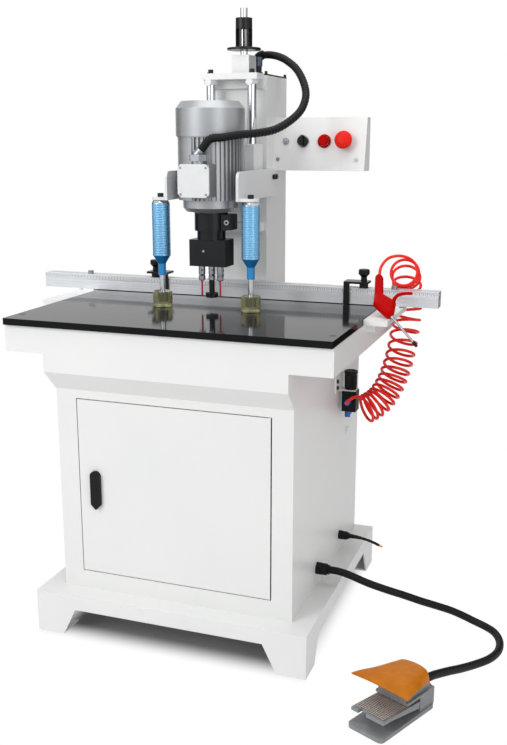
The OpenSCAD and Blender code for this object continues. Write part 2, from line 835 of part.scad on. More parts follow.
module stop(x, dir) {
    leg = 16;
    low = fence_z + 1;
    front = fence_y - seat_gap - stop_t;
    color("gainsboro") difference() {
        union() {
            translate([min(x - dir * 16, x + dir * stop_len), front, stop_seat])
                cube([stop_len + 16, fence_d / 2 + 16 + stop_t + seat_gap, stop_t]);
            at_z(x, fence_y + fence_d / 2, fence_top + seat_gap) disc(spacer_r, stop_lift + eps);
            translate([x + dir * (stop_len - leg / 2) - leg / 2, front, low])
                cube([leg, stop_t, stop_seat + stop_t - low]);
        }
        at_z(x, fence_y + fence_d / 2, fence_top - eps) disc(4 + fit, stop_lift + stop_t + 3 * eps);
    }
}

// The knob with its stud, and the T-nut that it pulls up inside the slot
module stop_knob(x) {
    seat = stop_seat + stop_t + 0.3;
    color([0.1, 0.1, 0.1]) at_z(x, fence_y + fence_d / 2, 0) {
        at_z(0, 0, seat) rotate_extrude() polygon([[0, 0], [8.5, 0], [8, 11], [stop_knob_r - 3, 15],
            [stop_knob_r, 18], [stop_knob_r, 28], [stop_knob_r - 2, 31], [0, 32]]);
        at_z(0, 0, fence_top - 9.5) disc(4, seat - fence_top + 10);
        at_z(0, 0, fence_top - 10) disc(slot_w - 1.2, 4.5);
    }
}

module stop_left() { stop(-stop_left_x, 1); }
module stop_right() { stop(stop_right_x, -1); }
module stop_knob_left() { stop_knob(-stop_left_x); }
module stop_knob_right() { stop_knob(stop_right_x); }

// Column, rods and feed

module column() {
    foot = 12;
    color("whitesmoke") difference() {
        block(0, col_front, bed_top, col_w, col_d, col_h);
        block(0, col_front + col_t, bed_top + foot, col_w - 2 * col_t, col_d - 2 * col_t, col_h);
        block(0, col_front - eps, slot_low, 2 * slot_half, col_t + 2 * eps, slot_high - slot_low);
        at_cap_bolts() at_z(0, 0, col_top - cap_bolt_len) disc(cap_bolt_r + bolt_fit, cap_bolt_len + eps);
        at_bracket_bolts() at_z(0, 0, -bracket_bolt_len) disc(bracket_bolt_r + bolt_fit, bracket_bolt_len);
    }
}

cap_bolt_r = 2.5;
cap_bolt_len = 16;
bracket_bolt_r = 4;
bracket_bolt_len = 26;
bracket_bolt_z = 52;

module at_cap_bolts() {
    for (x = [-1, 1], y = [col_front + col_t / 2, cab_back - col_t / 2])
        at_z(x * (col_w - col_t) / 2, y, 0) children();
}

tube_flange_r = 48;
tube_flange_t = 10;

module at_block_bolts() {
    for (x = [-34, 34], y = [-24, 24]) at_z(x, feed_y + y, 0) children();
}

module at_bracket_bolts() {
    for (y = [14, 34]) pair() along_x(bracket_x + bracket_t, col_front + y, bracket_z + bracket_bolt_z)
        children();
}

module column_cap() {
    color([0.12, 0.12, 0.13]) difference() {
        block(0, col_front, col_top, col_w, col_d, cap_t);
        at_z(0, feed_y, col_top - eps) disc(block_neck_r + bolt_fit, cap_t + 2 * eps);
        at_cap_bolts() at_z(0, 0, col_top - eps) disc(cap_bolt_r + bolt_fit, cap_t + 2 * eps);
        at_block_bolts() at_z(0, 0, col_top - eps) disc(cap_bolt_r + bolt_fit, cap_t + 2 * eps);
    }
}

module guide_rods() {
    color("silver") pair() difference() {
        at_z(rod_x, rod_y, rod_low) disc(rod_r, rod_len);
        at_z(rod_x, rod_y, rod_top - rod_bolt_in - eps) disc(rod_bolt_r + bolt_fit, rod_bolt_in + 2 * eps);
        at_z(rod_x, rod_y, rod_low - eps) disc(rod_bolt_r + bolt_fit, rod_bolt_in + 2 * eps);
    }
}

rod_bolt_r = 5;
rod_bolt_in = 18;
rod_collar_t = 6;
rod_collar_h = 12;
rod_boss_r = 9;
holder_bar_d = 14;
holder_bar_h = 22;

module holder(z, t) {
    difference() {
        block(0, col_front - holder_d, z, holder_w, holder_d, t);
        for (x = [-rod_x, rod_x]) at_z(x, rod_y, z - eps) disc(rod_bolt_r + bolt_fit, t + 2 * eps);
    }
}

module rod_holders() {
    color("gainsboro") {
        holder(rod_top, holder_t);
        block(0, col_front - holder_bar_d, rod_top - holder_bar_h, holder_w, holder_bar_d,
            holder_bar_h + eps);
        pair() difference() {
            union() {
                at_z(rod_x, rod_y, rod_top - rod_collar_h) disc(rod_r + rod_collar_t, rod_collar_h + eps);
                along_y(rod_x, rod_y - rod_r - rod_collar_t - 3, rod_top - rod_boss_r + 2)
                    disc(rod_boss_r, 10);
            }
            at_z(rod_x, rod_y, rod_top - 2 * rod_collar_h) disc(rod_r + bolt_fit, 2 * rod_collar_h);
            at_z(rod_x, rod_y, rod_top) disc(rod_bolt_r + bolt_fit, 2 * eps);
        }
        holder(rod_low - low_holder_t, low_holder_t);
    }
}

module feed_cylinder() {
    color("whitesmoke") difference() {
        union() {
            at_z(0, feed_y, tube_low) disc(feed_tube_r, col_top - tube_low);
            at_z(0, feed_y, col_top - tube_flange_t) disc(tube_flange_r, tube_flange_t);
            at_z(0, feed_y, col_top - eps) disc(block_neck_r, cap_t + 2 * eps);
            block(0, feed_y - block_d / 2, cap_top, block_w, block_d, block_h);
        }
        at_z(0, feed_y, tube_low + tube_end) disc(feed_tube_r - feed_wall, feed_tube_len - 2 * tube_end);
        at_z(0, feed_y, tube_low - eps) disc(feed_r + fit, block_top - tube_low + 2 * eps);
        at_block_bolts() at_z(0, 0, col_top - tube_flange_t - eps)
            disc(cap_bolt_r + bolt_fit, tube_flange_t + 2 * eps);
    }
}

module feed_rod() {
    color("silver") {
        at_z(0, feed_y, arm_z - 8) disc(feed_r, feed_top - arm_z + 8);
        at_z(0, feed_y, piston_z) disc(feed_tube_r - feed_wall - piston_gap, piston_t);
        at_z(0, feed_y, arm_z + arm_h) disc(feed_r + 6, collar_h);
        at_z(0, feed_y, arm_z - 8) disc(feed_r + 6, 8);
    }
}

module stop_disc() {
    color([0.1, 0.1, 0.1]) at_z(0, feed_y, disc_z) difference() {
        disc(disc_r, disc_t);
        at_z(0, 0, -eps) disc(feed_r + fit, disc_t + 2 * eps);
    }
}

// The lower part of the barrel is a hollow cage of bars, with the feed rod showing between them
module stop_barrel() {
    slots = 12;
    slot = 7.2;
    slot_h = barrel_h * 0.58;
    turn = 5;
    cage_r = barrel_r - 7;
    color([0.1, 0.1, 0.1]) at_z(0, feed_y, barrel_z) difference() {
        disc(barrel_r, barrel_h);
        at_z(0, 0, -eps) disc(feed_r + fit, barrel_h + 2 * eps);
        at_z(0, 0, 3) disc(cage_r, slot_h + 2);
        for (k = [0:slots - 1]) rotate([0, 0, turn + k * 360 / slots])
            translate([cage_r - 1, -slot / 2, 4]) cube([barrel_r - cage_r + 2, slot, slot_h]);
    }
}

module carriage() {
    back = rod_y + slide_back;
    color("lightgray") difference() {
        union() {
            block(0, carriage_y, carriage_z, 2 * rod_x + slide_w, carriage_t, carriage_h);
            for (x = [-rod_x, rod_x])
                block(x, carriage_y + carriage_t - eps, carriage_z, slide_w,
                    back - carriage_y - carriage_t + eps,
                    carriage_h);
            block(0, carriage_y + carriage_t - eps, arm_z, arm_w,
                feed_y + arm_w / 2 - carriage_y - carriage_t + eps,
                arm_h);
        }
        for (x = [-rod_x, rod_x]) at_z(x, rod_y, carriage_z - eps) disc(rod_r + fit, carriage_h + 2 * eps);
        at_z(0, feed_y, arm_z - eps) disc(feed_r + fit, arm_h + 2 * eps);
    }
}

// Motor

// Fins all round, except on the smooth part beside the terminal box
module fin_ring() {
    step = 360 / fin_count;
    core = motor_r - fin_d;
    smooth = [192, 254];
    skin = motor_r - 1.5;
    function rim(r, k) = r * [cos(k * step), sin(k * step)];
    polygon([for (k = [0:fin_count - 1]) each k * step > smooth[0] && k * step < smooth[1]
        ? [rim(skin, k - 0.4), rim(skin, k), rim(skin, k + 0.4)]
        : [rim(core, k - 0.22), rim(motor_r, k - 0.12), rim(motor_r, k + 0.12), rim(core, k + 0.22)]]);
}

module motor_frame() {
    pad = carriage_y - spin_y;
    color("silver") translate([0, spin_y, 0]) difference() {
        union() {
            at_z(0, 0, motor_z) linear_extrude(motor_h) fin_ring();
            at_z(0, 0, cowl_z - shield_t) disc(cowl_r - cowl_wall - seat_gap, shield_t);
            rotate_extrude() polygon([[0, flange_z - spigot_len], [spigot_r, flange_z - spigot_len],
                [spigot_r, flange_z], [flange_r - 8, flange_z], [flange_r, flange_z + 10],
                [flange_r, motor_z + eps], [0, motor_z + eps]]);
            block(0, 0, carriage_z + 6, 110, pad, carriage_h - 24);
        }
        at_z(0, 0, motor_z + 14) disc(rotor_r + rotor_clear, motor_h - 14 - shield_t - 4);
        at_z(0, 0, flange_z - spigot_len - eps)
            disc(shaft_r + fit, motor_h + flange_t + spigot_len + 2 * eps);
    }
}

module motor_cowl() {
    low = cowl_z - cowl_lap;
    chamfer = 18;
    top = low + cowl_h + cowl_lap;
    slots = 18;
    slot = 5;
    color("silver") at_z(0, spin_y, 0) difference() {
        rotate_extrude() polygon([
            [cowl_r - cowl_wall, low], [cowl_r, low], [cowl_r, top - chamfer], [cowl_r - 14, top], [0, top],
            [0, top - cowl_wall], [cowl_r - 14 - cowl_wall, top - cowl_wall],
            [cowl_r - cowl_wall, top - chamfer - cowl_wall]]);
        for (k = [0:slots - 1]) rotate([0, 0, k * 360 / slots])
            translate([26, -slot / 2, top - cowl_wall - eps]) cube([42, slot, cowl_wall + 2 * eps]);
    }
}

module motor_rotor() {
    fan_z = cowl_z + 36;
    fan_h = 26;
    fan_hub_h = 14;
    fan_r = 72;
    core_in = 28;
    core_out = 32;
    coupling_z = ring_z - 10;
    color("dimgray") at_z(0, spin_y, 0) {
        at_z(0, 0, coupling_z) disc(shaft_r, fan_z + fan_hub_h - coupling_z);
        at_z(0, 0, motor_z + core_in) disc(rotor_r, motor_h - core_in - core_out);
        at_z(0, 0, fan_z) disc(26, fan_hub_h);
        for (k = [0:6]) rotate([0, 0, k * 360 / 7]) translate([20, -1.5, fan_z]) cube([50, 3, fan_h]);
        at_z(0, 0, fan_z) disc(fan_r, 3);
    }
}

module term_shape(w, h, cut) {
    polygon([[-w / 2 + cut, 0], [w / 2 - cut, 0], [w / 2, cut], [w / 2, h - cut], [w / 2 - cut, h],
        [-w / 2 + cut, h], [-w / 2, h - cut], [-w / 2, cut]]);
}

module terminal_box() {
    front = spin_y - term_reach + term_t;
    back = spin_y - motor_r + 22;
    wall = 3;
    color("silver") difference() {
        block(term_x, front, term_z, term_w - 4, back - front, term_h);
        at_z(0, spin_y, term_z - eps) disc(motor_r + seat_gap, term_h + 2 * eps);
        block(term_x, front - eps, term_z + wall, term_w - 4 - 2 * wall, spin_y - motor_r - wall - front,
            term_h - 2 * wall);
        at_z(gland_x, gland_y, gland_z - wall - eps) disc(9, wall + 2 * eps);
    }
}

module terminal_cover() {
    color("gainsboro") translate([term_x, spin_y - term_reach + term_t, term_z - 1]) rotate([90, 0, 0])
        linear_extrude(term_t) term_shape(term_w, term_h + 2, term_cut);
}

module conduit_gland() {
    color("silver") at_z(gland_x, gland_y, gland_z) {
        disc(gland_r - 7, 9);
        at_z(0, 0, 8) cylinder(r = gland_r, h = gland_hex_h - 8, $fn = 6);
        at_z(0, 0, gland_hex_h) rotate([0, gland_tilt, 0]) {
            sphere(conduit_r + 3);
            disc(conduit_r + 2, gland_neck);
        }
    }
}

// Boring head

module head_clamp() {
    slit = 3;
    ear_out = 20;
    color([0.08, 0.08, 0.08]) at_z(0, spin_y, ring_z) difference() {
        union() {
            disc(ring_r, ring_h);
            translate([ring_r - 12, -24, 3]) cube([ear_out + 12, 48, ring_h - 6]);
        }
        at_z(0, 0, -eps) disc(spigot_r + fit, ring_h + 2 * eps);
        translate([0, -slit / 2, -eps]) cube([ring_r + ear_out + eps, slit, ring_h + 2 * eps]);
        along_y(ring_r + ear_out / 2, -24 - eps, ring_h / 2) disc(4 + bolt_fit, 48 + 2 * eps);
    }
    color("silver") translate([ring_r + ear_out / 2, spin_y - 24, ring_z + ring_h / 2]) rotate([90, 0, 0])
        bolt(4, 6.5, 6, 44);
}

module head_housing() {
    cavity_w = head_w - 2 * cavity_wall;
    cavity_d = head_d - 2 * cavity_wall;
    color([0.08, 0.08, 0.08]) difference() {
        union() {
            block(0, spin_y - head_d / 2, head_z, head_w, head_d, head_h);
            at_z(0, spin_y, neck_z - eps) disc(neck_r, neck_h + eps);
            at_z(0, spin_y, ring_z - eps) disc(spigot_r, 14 + eps);
        }
        block(0, spin_y - head_d / 2 + cavity_wall, cavity_z, cavity_w, cavity_d, cavity_h);
        at_z(0, spin_y, cavity_z) disc(shaft_r + 1.5, ring_z + 16 - cavity_z);
        at_z(0, spin_y, head_z - eps) disc(spindle_r + fit, head_h);
        for (x = [-drill_x, drill_x]) at_z(x, drill_y, head_z - eps) disc(spindle_r + fit, head_h - 6);
    }
}

// A spur gear with straight-sided teeth, one tooth centred on the given angle
module gear(phase) {
    outer = gear_pitch_r + tooth_add;
    root = gear_pitch_r - tooth_ded;
    rotate([0, 0, phase]) linear_extrude(gear_t) polygon([for (k = [0:gear_teeth - 1]) each [
        root * [cos((k - tooth_root) * gear_step), sin((k - tooth_root) * gear_step)],
        outer * [cos((k - tooth_tip) * gear_step), sin((k - tooth_tip) * gear_step)],
        outer * [cos((k + tooth_tip) * gear_step), sin((k + tooth_tip) * gear_step)],
        root * [cos((k + tooth_root) * gear_step), sin((k + tooth_root) * gear_step)]]]);
}

module spindle(x, y, phase, top) {
    at_z(x, y, 0) {
        at_z(0, 0, head_z - 0.3) disc(spindle_r, top - head_z + 0.3);
        at_z(0, 0, gear_z) gear(phase);
        at_z(0, 0, chuck_z) rotate_extrude() polygon([[0, 0], [chuck_r - 1.5, 0], [chuck_r, 2], [chuck_r, 12],
            [chuck_r - 1, 13], [chuck_r - 1, 16], [chuck_r, 17], [chuck_r, chuck_len - 0.3],
                [0, chuck_len - 0.3]]);
    }
}

module centre_spindle() { color([0.15, 0.15, 0.16]) spindle(0, spin_y, right_angle, ring_z - 10); }
module left_spindle() { color([0.3, 0.3, 0.31]) spindle(-drill_x, drill_y, left_phase, neck_z - 8); }
module right_spindle() { color([0.3, 0.3, 0.31]) spindle(drill_x, drill_y, right_phase, neck_z - 8); }

module centre_bit() {
    cutter_h = 12;
    spur = 4;
    color([0.1, 0.1, 0.1]) at_z(0, spin_y, chuck_z - bit_len) {
        difference() {
            disc(bit_d / 2, cutter_h);
            for (a = [0, 180]) rotate([0, 0, a]) translate([2, 2, -eps])
                cube([bit_d, bit_d / 3, cutter_h + 2 * eps]);
        }
        at_z(0, 0, cutter_h - 1) disc(7.5, bit_len - cutter_h + 1);
        at_z(0, 0, -spur) cylinder(r1 = 0.4, r2 = 2.5, h = spur);
    }
}

module drill(x) {
    tip = 4;
    color("indianred") at_z(x, drill_y, chuck_z - bit_len) {
        at_z(0, 0, tip) disc(drill_d / 2, bit_len - tip);
        cylinder(r1 = 0.4, r2 = drill_d / 2, h = tip);
    }
}

module left_drill() { drill(-drill_x); }
module right_drill() { drill(drill_x); }

// Clamps

module clamp_bracket() {
    flange_half = clamp_r - 2;
    difference() {
        union() {
            translate([bracket_x, bracket_front, bracket_z])
                cube([bracket_t, bracket_back - bracket_front, bracket_h]);
            translate([bracket_x, clamp_y - flange_half, bracket_z])
                cube([clamp_x - bracket_x, 2 * flange_half, bracket_t]);
            at_z(clamp_x, clamp_y, bracket_z) disc(flange_half, bracket_t);
            translate([col_w / 2, col_front, bracket_z])
                cube([bracket_x - col_w / 2 + eps, bracket_back - col_front,
                bracket_h]);
        }
        at_z(clamp_x, clamp_y, bracket_z - eps) disc(clamp_bolt_r + bolt_fit, bracket_t + 2 * eps);
        for (y = [14, 34]) along_x(col_w / 2 - eps, col_front + y, bracket_z + bracket_bolt_z)
            disc(bracket_bolt_r + bolt_fit, bracket_x + bracket_t - col_w / 2 + 2 * eps);
        translate([bracket_x - eps, bracket_front - eps, bracket_z + bracket_h - bracket_round])
            cube([bracket_t + 2 * eps, bracket_round + eps, bracket_round + eps]);
    }
    along_x(bracket_x, bracket_front + bracket_round, bracket_z + bracket_h - bracket_round)
        disc(bracket_round, bracket_t);
}
bracket_round = 16;

module clamp_brackets() { color("gainsboro") pair() clamp_bracket(); }

module clamp_cylinder() {
    at_z(clamp_x, clamp_y, 0) difference() {
        rotate_extrude() polygon(concat(
            [[0, sleeve_z], [sleeve_r, sleeve_z], [sleeve_r, cone_z], [clamp_r, clamp_z]],
            [for (k = [0:sleeve_ribs - 1]) let (z = clamp_z + 2 + k * sleeve_step) each [
                [clamp_r, z], [clamp_r, z + sleeve_step * 0.55],
                [clamp_r - groove_d, z + sleeve_step * 0.68], [clamp_r - groove_d, z + sleeve_step * 0.87]]],
            [[clamp_r, clamp_top - 10], [clamp_r, clamp_top - 9], [clamp_r - 5, clamp_top], [0, clamp_top]]));
        at_z(0, 0, clamp_top - clamp_bolt_in) disc(clamp_bolt_r + bolt_fit, clamp_bolt_in + eps);
        at_z(0, 0, clamp_z + 8) disc(clamp_bore_r, clamp_len - 24);
        at_z(0, 0, sleeve_z - eps) disc(clamp_rod_r + fit, clamp_z - sleeve_z + 12);
    }
}

module clamp_cylinders() { color("dodgerblue") pair() clamp_cylinder(); }

module clamp_rod() {
    at_z(clamp_x, clamp_y, 0) {
        at_z(0, 0, clamp_rod_z) disc(clamp_rod_r, clamp_z + clamp_rise - clamp_rod_z);
        at_z(0, 0, clamp_z + clamp_rise - clamp_piston_t) disc(clamp_bore_r - piston_gap, clamp_piston_t);
    }
}

module clamp_pad() {
    at_z(clamp_x, clamp_y, pad_z) rotate_extrude()
        polygon([[0, 0], [pad_r - 2, 0], [pad_r, 2], [pad_r, pad_h - 2],
        [pad_r - 2, pad_h], [0, pad_h]]);
}

module clamp_rod_right() { color("silver") clamp_rod(); }
module clamp_rod_left() { color("silver") mirror([1, 0, 0]) clamp_rod(); }
module clamp_pad_right() { color("darkkhaki") clamp_pad(); }
module clamp_pad_left() { color("darkkhaki") mirror([1, 0, 0]) clamp_pad(); }

// Controls

module box_outline(inset) {
    polygon([[box_front + inset, box_z + inset], [box_front + box_lean + inset, box_z + box_h - inset],
        [box_front + box_d - inset, box_z + box_h - inset], [box_front + box_d - inset, box_z + inset]]);
}

module control_box() {
    color("whitesmoke") difference() {
        translate([box_x, 0, 0]) rotate([90, 0, 90]) linear_extrude(box_w) box_outline(0);
        translate([box_x + box_t, 0, 0]) rotate([90, 0, 90]) linear_extrude(box_w - 2 * box_t)
            box_outline(box_t);
        for (x = [selector_x, push_x, estop_x]) on_panel(x, -3 * box_t) disc(stem_r + fit, 6 * box_t);
        for (x = box_screw_xs) on_panel(x, -3 * box_t) translate([0, box_screw_drop, 0])
            disc(box_screw_r + bolt_fit, 6 * box_t);
    }
}
box_screw_xs = [box_x + 14, box_x + box_w - 24];
box_screw_drop = -50;
box_screw_r = 2.5;

module selector_knob() {
    color([0.08, 0.08, 0.08]) {
        on_panel(selector_x, 0.4) disc(selector_r, 10);
        on_panel(selector_x, 0.4) translate([-4, -selector_r, 9]) cube([8, 2 * selector_r, 8]);
        on_panel(selector_x, 1 - button_stem) disc(stem_r, button_stem);
    }
}

module push_button() {
    color("red") {
        on_panel(push_x, button_gap) disc(push_r, 8);
        on_panel(push_x, button_gap + 1 - button_stem) disc(stem_r, button_stem);
    }
}

module estop_button() {
    color("red") {
        on_panel(estop_x, button_gap) rotate_extrude() polygon([[0, 0], [13, 0], [13, 8], [estop_r - 2, 11],
            [estop_r, 14], [estop_r, 19], [estop_r - 3, 23], [estop_r / 2, 26], [0, 27]]);
        on_panel(estop_x, button_gap + 1 - button_stem) disc(stem_r, button_stem);
    }
}

// Air service

module regulator_body() {
    color([0.1, 0.1, 0.11]) {
        block(reg_x, reg_y - reg_w / 2, reg_z, reg_w, reg_w, reg_h);
        at_z(reg_x, reg_y, reg_top - eps) disc(reg_neck_r, reg_neck_h + reg_plate_t + eps);
    }
}

module regulator_bracket() {
    tall = 44;
    color("gray") difference() {
        union() {
            translate([side_x, reg_y - 56, reg_top]) cube([reg_plate_t, 76, tall]);
            translate([side_x, reg_y - 18, reg_top]) cube([reg_x + 18 - side_x, 36, reg_plate_t]);
        }
        at_z(reg_x, reg_y, reg_top - eps) disc(reg_neck_r + seat_gap, reg_plate_t + 2 * eps);
        at_reg_screws() at_z(0, 0, -reg_screw_len) disc(reg_screw_r + bolt_fit, reg_screw_len + eps);
    }
}
reg_screw_r = 3;
reg_screw_len = 12;
module at_reg_screws() {
    for (z = [14, 32]) along_x(side_x + reg_plate_t, reg_y - 44, reg_top + z) children();
}

// Every bolt and screw of the fixed frame

module frame_bolts() {
    color("dimgray") {
        for (sx = [-1, 1], y = table_screw_ys) at_z(sx * table_screw_x, y, table_top) rotate_extrude()
            polygon([
            [0, 0], [table_screw_head, 0], [table_screw_r, table_screw_r - table_screw_head],
            [table_screw_r, -table_t - bed_t - 4], [0, -table_t - bed_t - 4]]);
        for (x = [-fence_bolt_x, fence_bolt_x]) at_z(x, fence_y + fence_d / 2, fence_top)
            bolt(fence_bolt_r, 8, 9, fence_h + wing_t);
        for (x = [-rod_x, rod_x]) {
            at_z(x, rod_y, holder_top) bolt(rod_bolt_r, 7, 11, holder_t + rod_bolt_in - eps);
            at_z(x, rod_y, rod_low - low_holder_t) rotate([180, 0, 0])
                bolt(rod_bolt_r, 9, 5, low_holder_t + rod_bolt_in - eps);
        }
        at_cap_bolts() at_z(0, 0, cap_top) bolt(cap_bolt_r, 4, 7, cap_t + cap_bolt_len - eps);
        at_block_bolts() at_z(0, 0, cap_top) bolt(cap_bolt_r, 4, 6, cap_t + tube_flange_t);
        for (x = [-clamp_x, clamp_x]) at_z(x, clamp_y, clamp_top + bracket_t)
            bolt(clamp_bolt_r, 8, 10, bracket_t + clamp_bolt_in - eps);
        at_bracket_bolts() bolt(bracket_bolt_r, 7, 6, bracket_bolt_len - eps);
        for (x = box_screw_xs) on_panel(x) translate([0, box_screw_drop, 0]) bolt(box_screw_r, 5, 3, 8);
        at_reg_screws() bolt(reg_screw_r, 5.5, 4, reg_screw_len - eps);
    }
}

module regulator_knob() {
    color([0.1, 0.1, 0.11]) at_z(reg_x, reg_y, reg_top + reg_plate_t + knob_lift) difference() {
        union() {
            disc(reg_knob_r, reg_knob_h - 3);
            disc(reg_knob_r - 3, reg_knob_h);
        }
        at_z(0, 0, -eps) disc(reg_neck_r + fit, reg_neck_h + eps);
    }
}

// The inlet is an elbow under the regulator with its mouth to the back
inlet_x = reg_x - 6;
inlet_y = reg_y - 4;
inlet_z = reg_z - 10;
inlet_reach = 22;
inlet_bore_r = 4.1;
inlet_bore_len = 12;

module air_fittings() {
    color("royalblue") {
        along_y(reg_x, reg_y - reg_w / 2 - 18, reg_z + 30) disc(fitting_r, 18);
        difference() {
            union() {
                at_z(inlet_x, inlet_y, inlet_z - fitting_r) disc(fitting_r, reg_z - inlet_z + fitting_r);
                along_y(inlet_x, inlet_y, inlet_z) disc(fitting_r, inlet_reach);
            }
            along_y(inlet_x, inlet_y + inlet_reach - inlet_bore_len, inlet_z)
                disc(inlet_bore_r, inlet_bore_len + eps);
        }
        at_z(63, col_front + 12, cap_top) {
            disc(fitting_r - 3, 20 + eps);
            at_z(0, 0, 20) disc(fitting_r - 1, 24);
        }
    }
}

// Curls round a bent axis, with a lead from the regulator and a tail to the gun
curl_sides = 8;
curl_phase = -90;
curl_from = 1;
curl_table = [for (i = [0:len(curl_turns) - 1]) [curl_turns[i], i]];
curl_steps = curl_sides * curl_count;
axis_points = [for (i = [0:curl_steps]) curve(curl_axis, lookup(i / curl_sides, curl_table))];
axis_normals = frames(axis_points);
function curl_point(i) =
    let (angle = 360 * i / curl_sides + curl_phase, n = axis_normals[i],
        b = cross(heading(axis_points, i), n))
    axis_points[i] + curl_r * (n * cos(angle) + b * sin(angle));
curl_knots = concat(curl_lead, [for (i = [curl_from:curl_steps]) curl_point(i)], curl_tail);
curl_first = len(curl_lead);
curl_last = curl_first + curl_steps - curl_from;
curl_path = concat([for (i = [0:3 * curl_first - 1]) curve(curl_knots, i / 3)],
    [for (i = [curl_first:curl_last]) curl_knots[i]],
    [for (i = [1:3 * len(curl_tail)]) curve(curl_knots, curl_last + i / 3)]);
curl_gap = min([for (i = [0:len(curl_path) - 7]) min([for (j = [i + 6:min(len(curl_path) - 1, i + 40)])
    norm(curl_path[i] - curl_path[j])])]) - 2 * curl_tube_r;
echo("least gap of the curly hose to itself", curl_gap);

module curly_hose() { color("red") tube(curl_path, curl_tube_r, 6); }

module gun_body() {
    color("firebrick") difference() {
        union() {
            hull() {
                translate(gun_inlet) sphere(gun_r, $fn = 20);
                translate(gun_grip) sphere(gun_r + 1, $fn = 20);
            }
            hull() {
                translate(gun_grip) sphere(gun_r + 1, $fn = 20);
                translate(gun_left) sphere(gun_r, $fn = 20);
                translate(gun_right) sphere(gun_r, $fn = 20);
                translate(gun_low) sphere(gun_r + 3, $fn = 20);
            }
        }
        translate([gun_low.x - 50, gun_low.y - 50, wing_top - 50]) cube([100, 100, 50]);
        translate([gun_inlet.x - 50, gun_inlet.y - inlet_clear, gun_inlet.z - 50]) cube([100, 60, 100]);
        along_y(gun_pivot.x, gun_pivot.y - knuckle_w / 2 - seat_gap, gun_pivot.z)
            disc(lever_r + seat_gap, knuckle_w + 2 * seat_gap);
        translate(gun_port) along_nozzle() disc(gun_r + 6, 30);
    }
}
lever_r = 5;
knuckle_w = 10;

module along_nozzle() {
    rotate([0, acos(nozzle_dir.z), atan2(nozzle_dir.y, nozzle_dir.x)]) children();
}

module gun_nozzle() {
    color("gray") translate(gun_port) along_nozzle() {
        disc(nozzle_r + 2, 6);
        disc(nozzle_r, norm(gun_tip - gun_port));
    }
}

// A round bar between two points, tapering from one radius to the other
module bar(a, b, ra, rb) {
    d = unit(b - a);
    translate(a) rotate([0, acos(d.z), atan2(d.y, d.x)]) cylinder(r1 = ra, r2 = rb, h = norm(b - a));
}

module gun_lever() {
    thin = lever_r - 1;
    color("firebrick") {
        along_y(gun_pivot.x, gun_pivot.y - knuckle_w / 2, gun_pivot.z) disc(lever_r, knuckle_w);
        bar(gun_pivot, gun_bend, lever_r - 0.5, thin - 0.4);
        bar(gun_bend, gun_lever_end, thin - 0.4, thin - 0.4);
        translate(gun_bend) sphere(thin);
        translate(gun_lever_end) sphere(thin);
    }
}

// Cords

module conduit() {
    n = 2 * conduit_ribs;
    path = [for (i = [0:n]) curve(conduit_route, (len(conduit_route) - 1) * i / n)];
    color([0.07, 0.07, 0.07]) ribbed_tube(path, [for (i = [0:n]) i % 2 == 0 ? conduit_r - 1.2 : conduit_r],
        conduit_r - 3, 4, 8);
}

module pedal_hose() {
    n = 26;
    path = [for (i = [0:n]) curve(hose_route, (len(hose_route) - 1) * i / n)];
    color([0.07, 0.07, 0.07]) tube(path, hose_r, 10);
}

module mains_stub() {
    path = [for (i = [0:10]) curve(mains_route, (len(mains_route) - 1) * i / 10)];
    color([0.07, 0.07, 0.07]) tube(path, mains_r, 8);
}

module gland(y, z, r, reach) {
    along_x(side_x, y, z) {
        cylinder(r = r, h = reach * 0.4, $fn = 6);
        disc(r * 0.86, reach * 0.8);
        at_z(0, 0, reach * 0.8 - eps) disc(r * 0.7, reach * 0.2 + eps);
    }
}

module cable_glands() {
    color([0.08, 0.08, 0.08]) {
        gland(hose_route[0].y, hose_route[0].z, 18, hose_route[0].x - side_x - cord_gap);
        gland(mains_route[0].y, mains_route[0].z, 14, mains_route[0].x - side_x - cord_gap);
        at_z(elbow_x, elbow_end.y, cap_top) {
            cylinder(r = elbow_r + 4, h = 12, $fn = 6);
            disc(elbow_r, elbow_rise - elbow_bend);
        }
        translate(elbow_end - [0, 0, elbow_bend]) rotate([90, 0, 0])
            rotate([0, 0, 90]) rotate_extrude(angle = 90) translate([elbow_bend, 0]) circle(elbow_r);
    }
}

// Pedal

module pedal_base() {
    color("gray") at_pedal() {
        hull() for (x = [-1, 1], y = [corner_r, pedal_len - corner_r])
            at_z(x * (pedal_w / 2 + base_out - corner_r), y, 0) disc(corner_r, pedal_t);
        for (x = [-1, 1]) block(x * (pedal_w / 2 - cheek_t / 2), cheek_front, pedal_t - eps, cheek_t,
            pedal_len - cheek_front, valve_z - pedal_t + 2 * eps);
        block(0, valve_front, valve_z, pedal_w, pedal_len - valve_front, deck_t);
        block(0, valve_front, valve_z, valve_w, pedal_len - valve_front, valve_h);
        along_x(-pedal_w / 2 + eps, pin_y, pin_z) disc(treadle_pin_r, pedal_w - 2 * eps);
    }
}

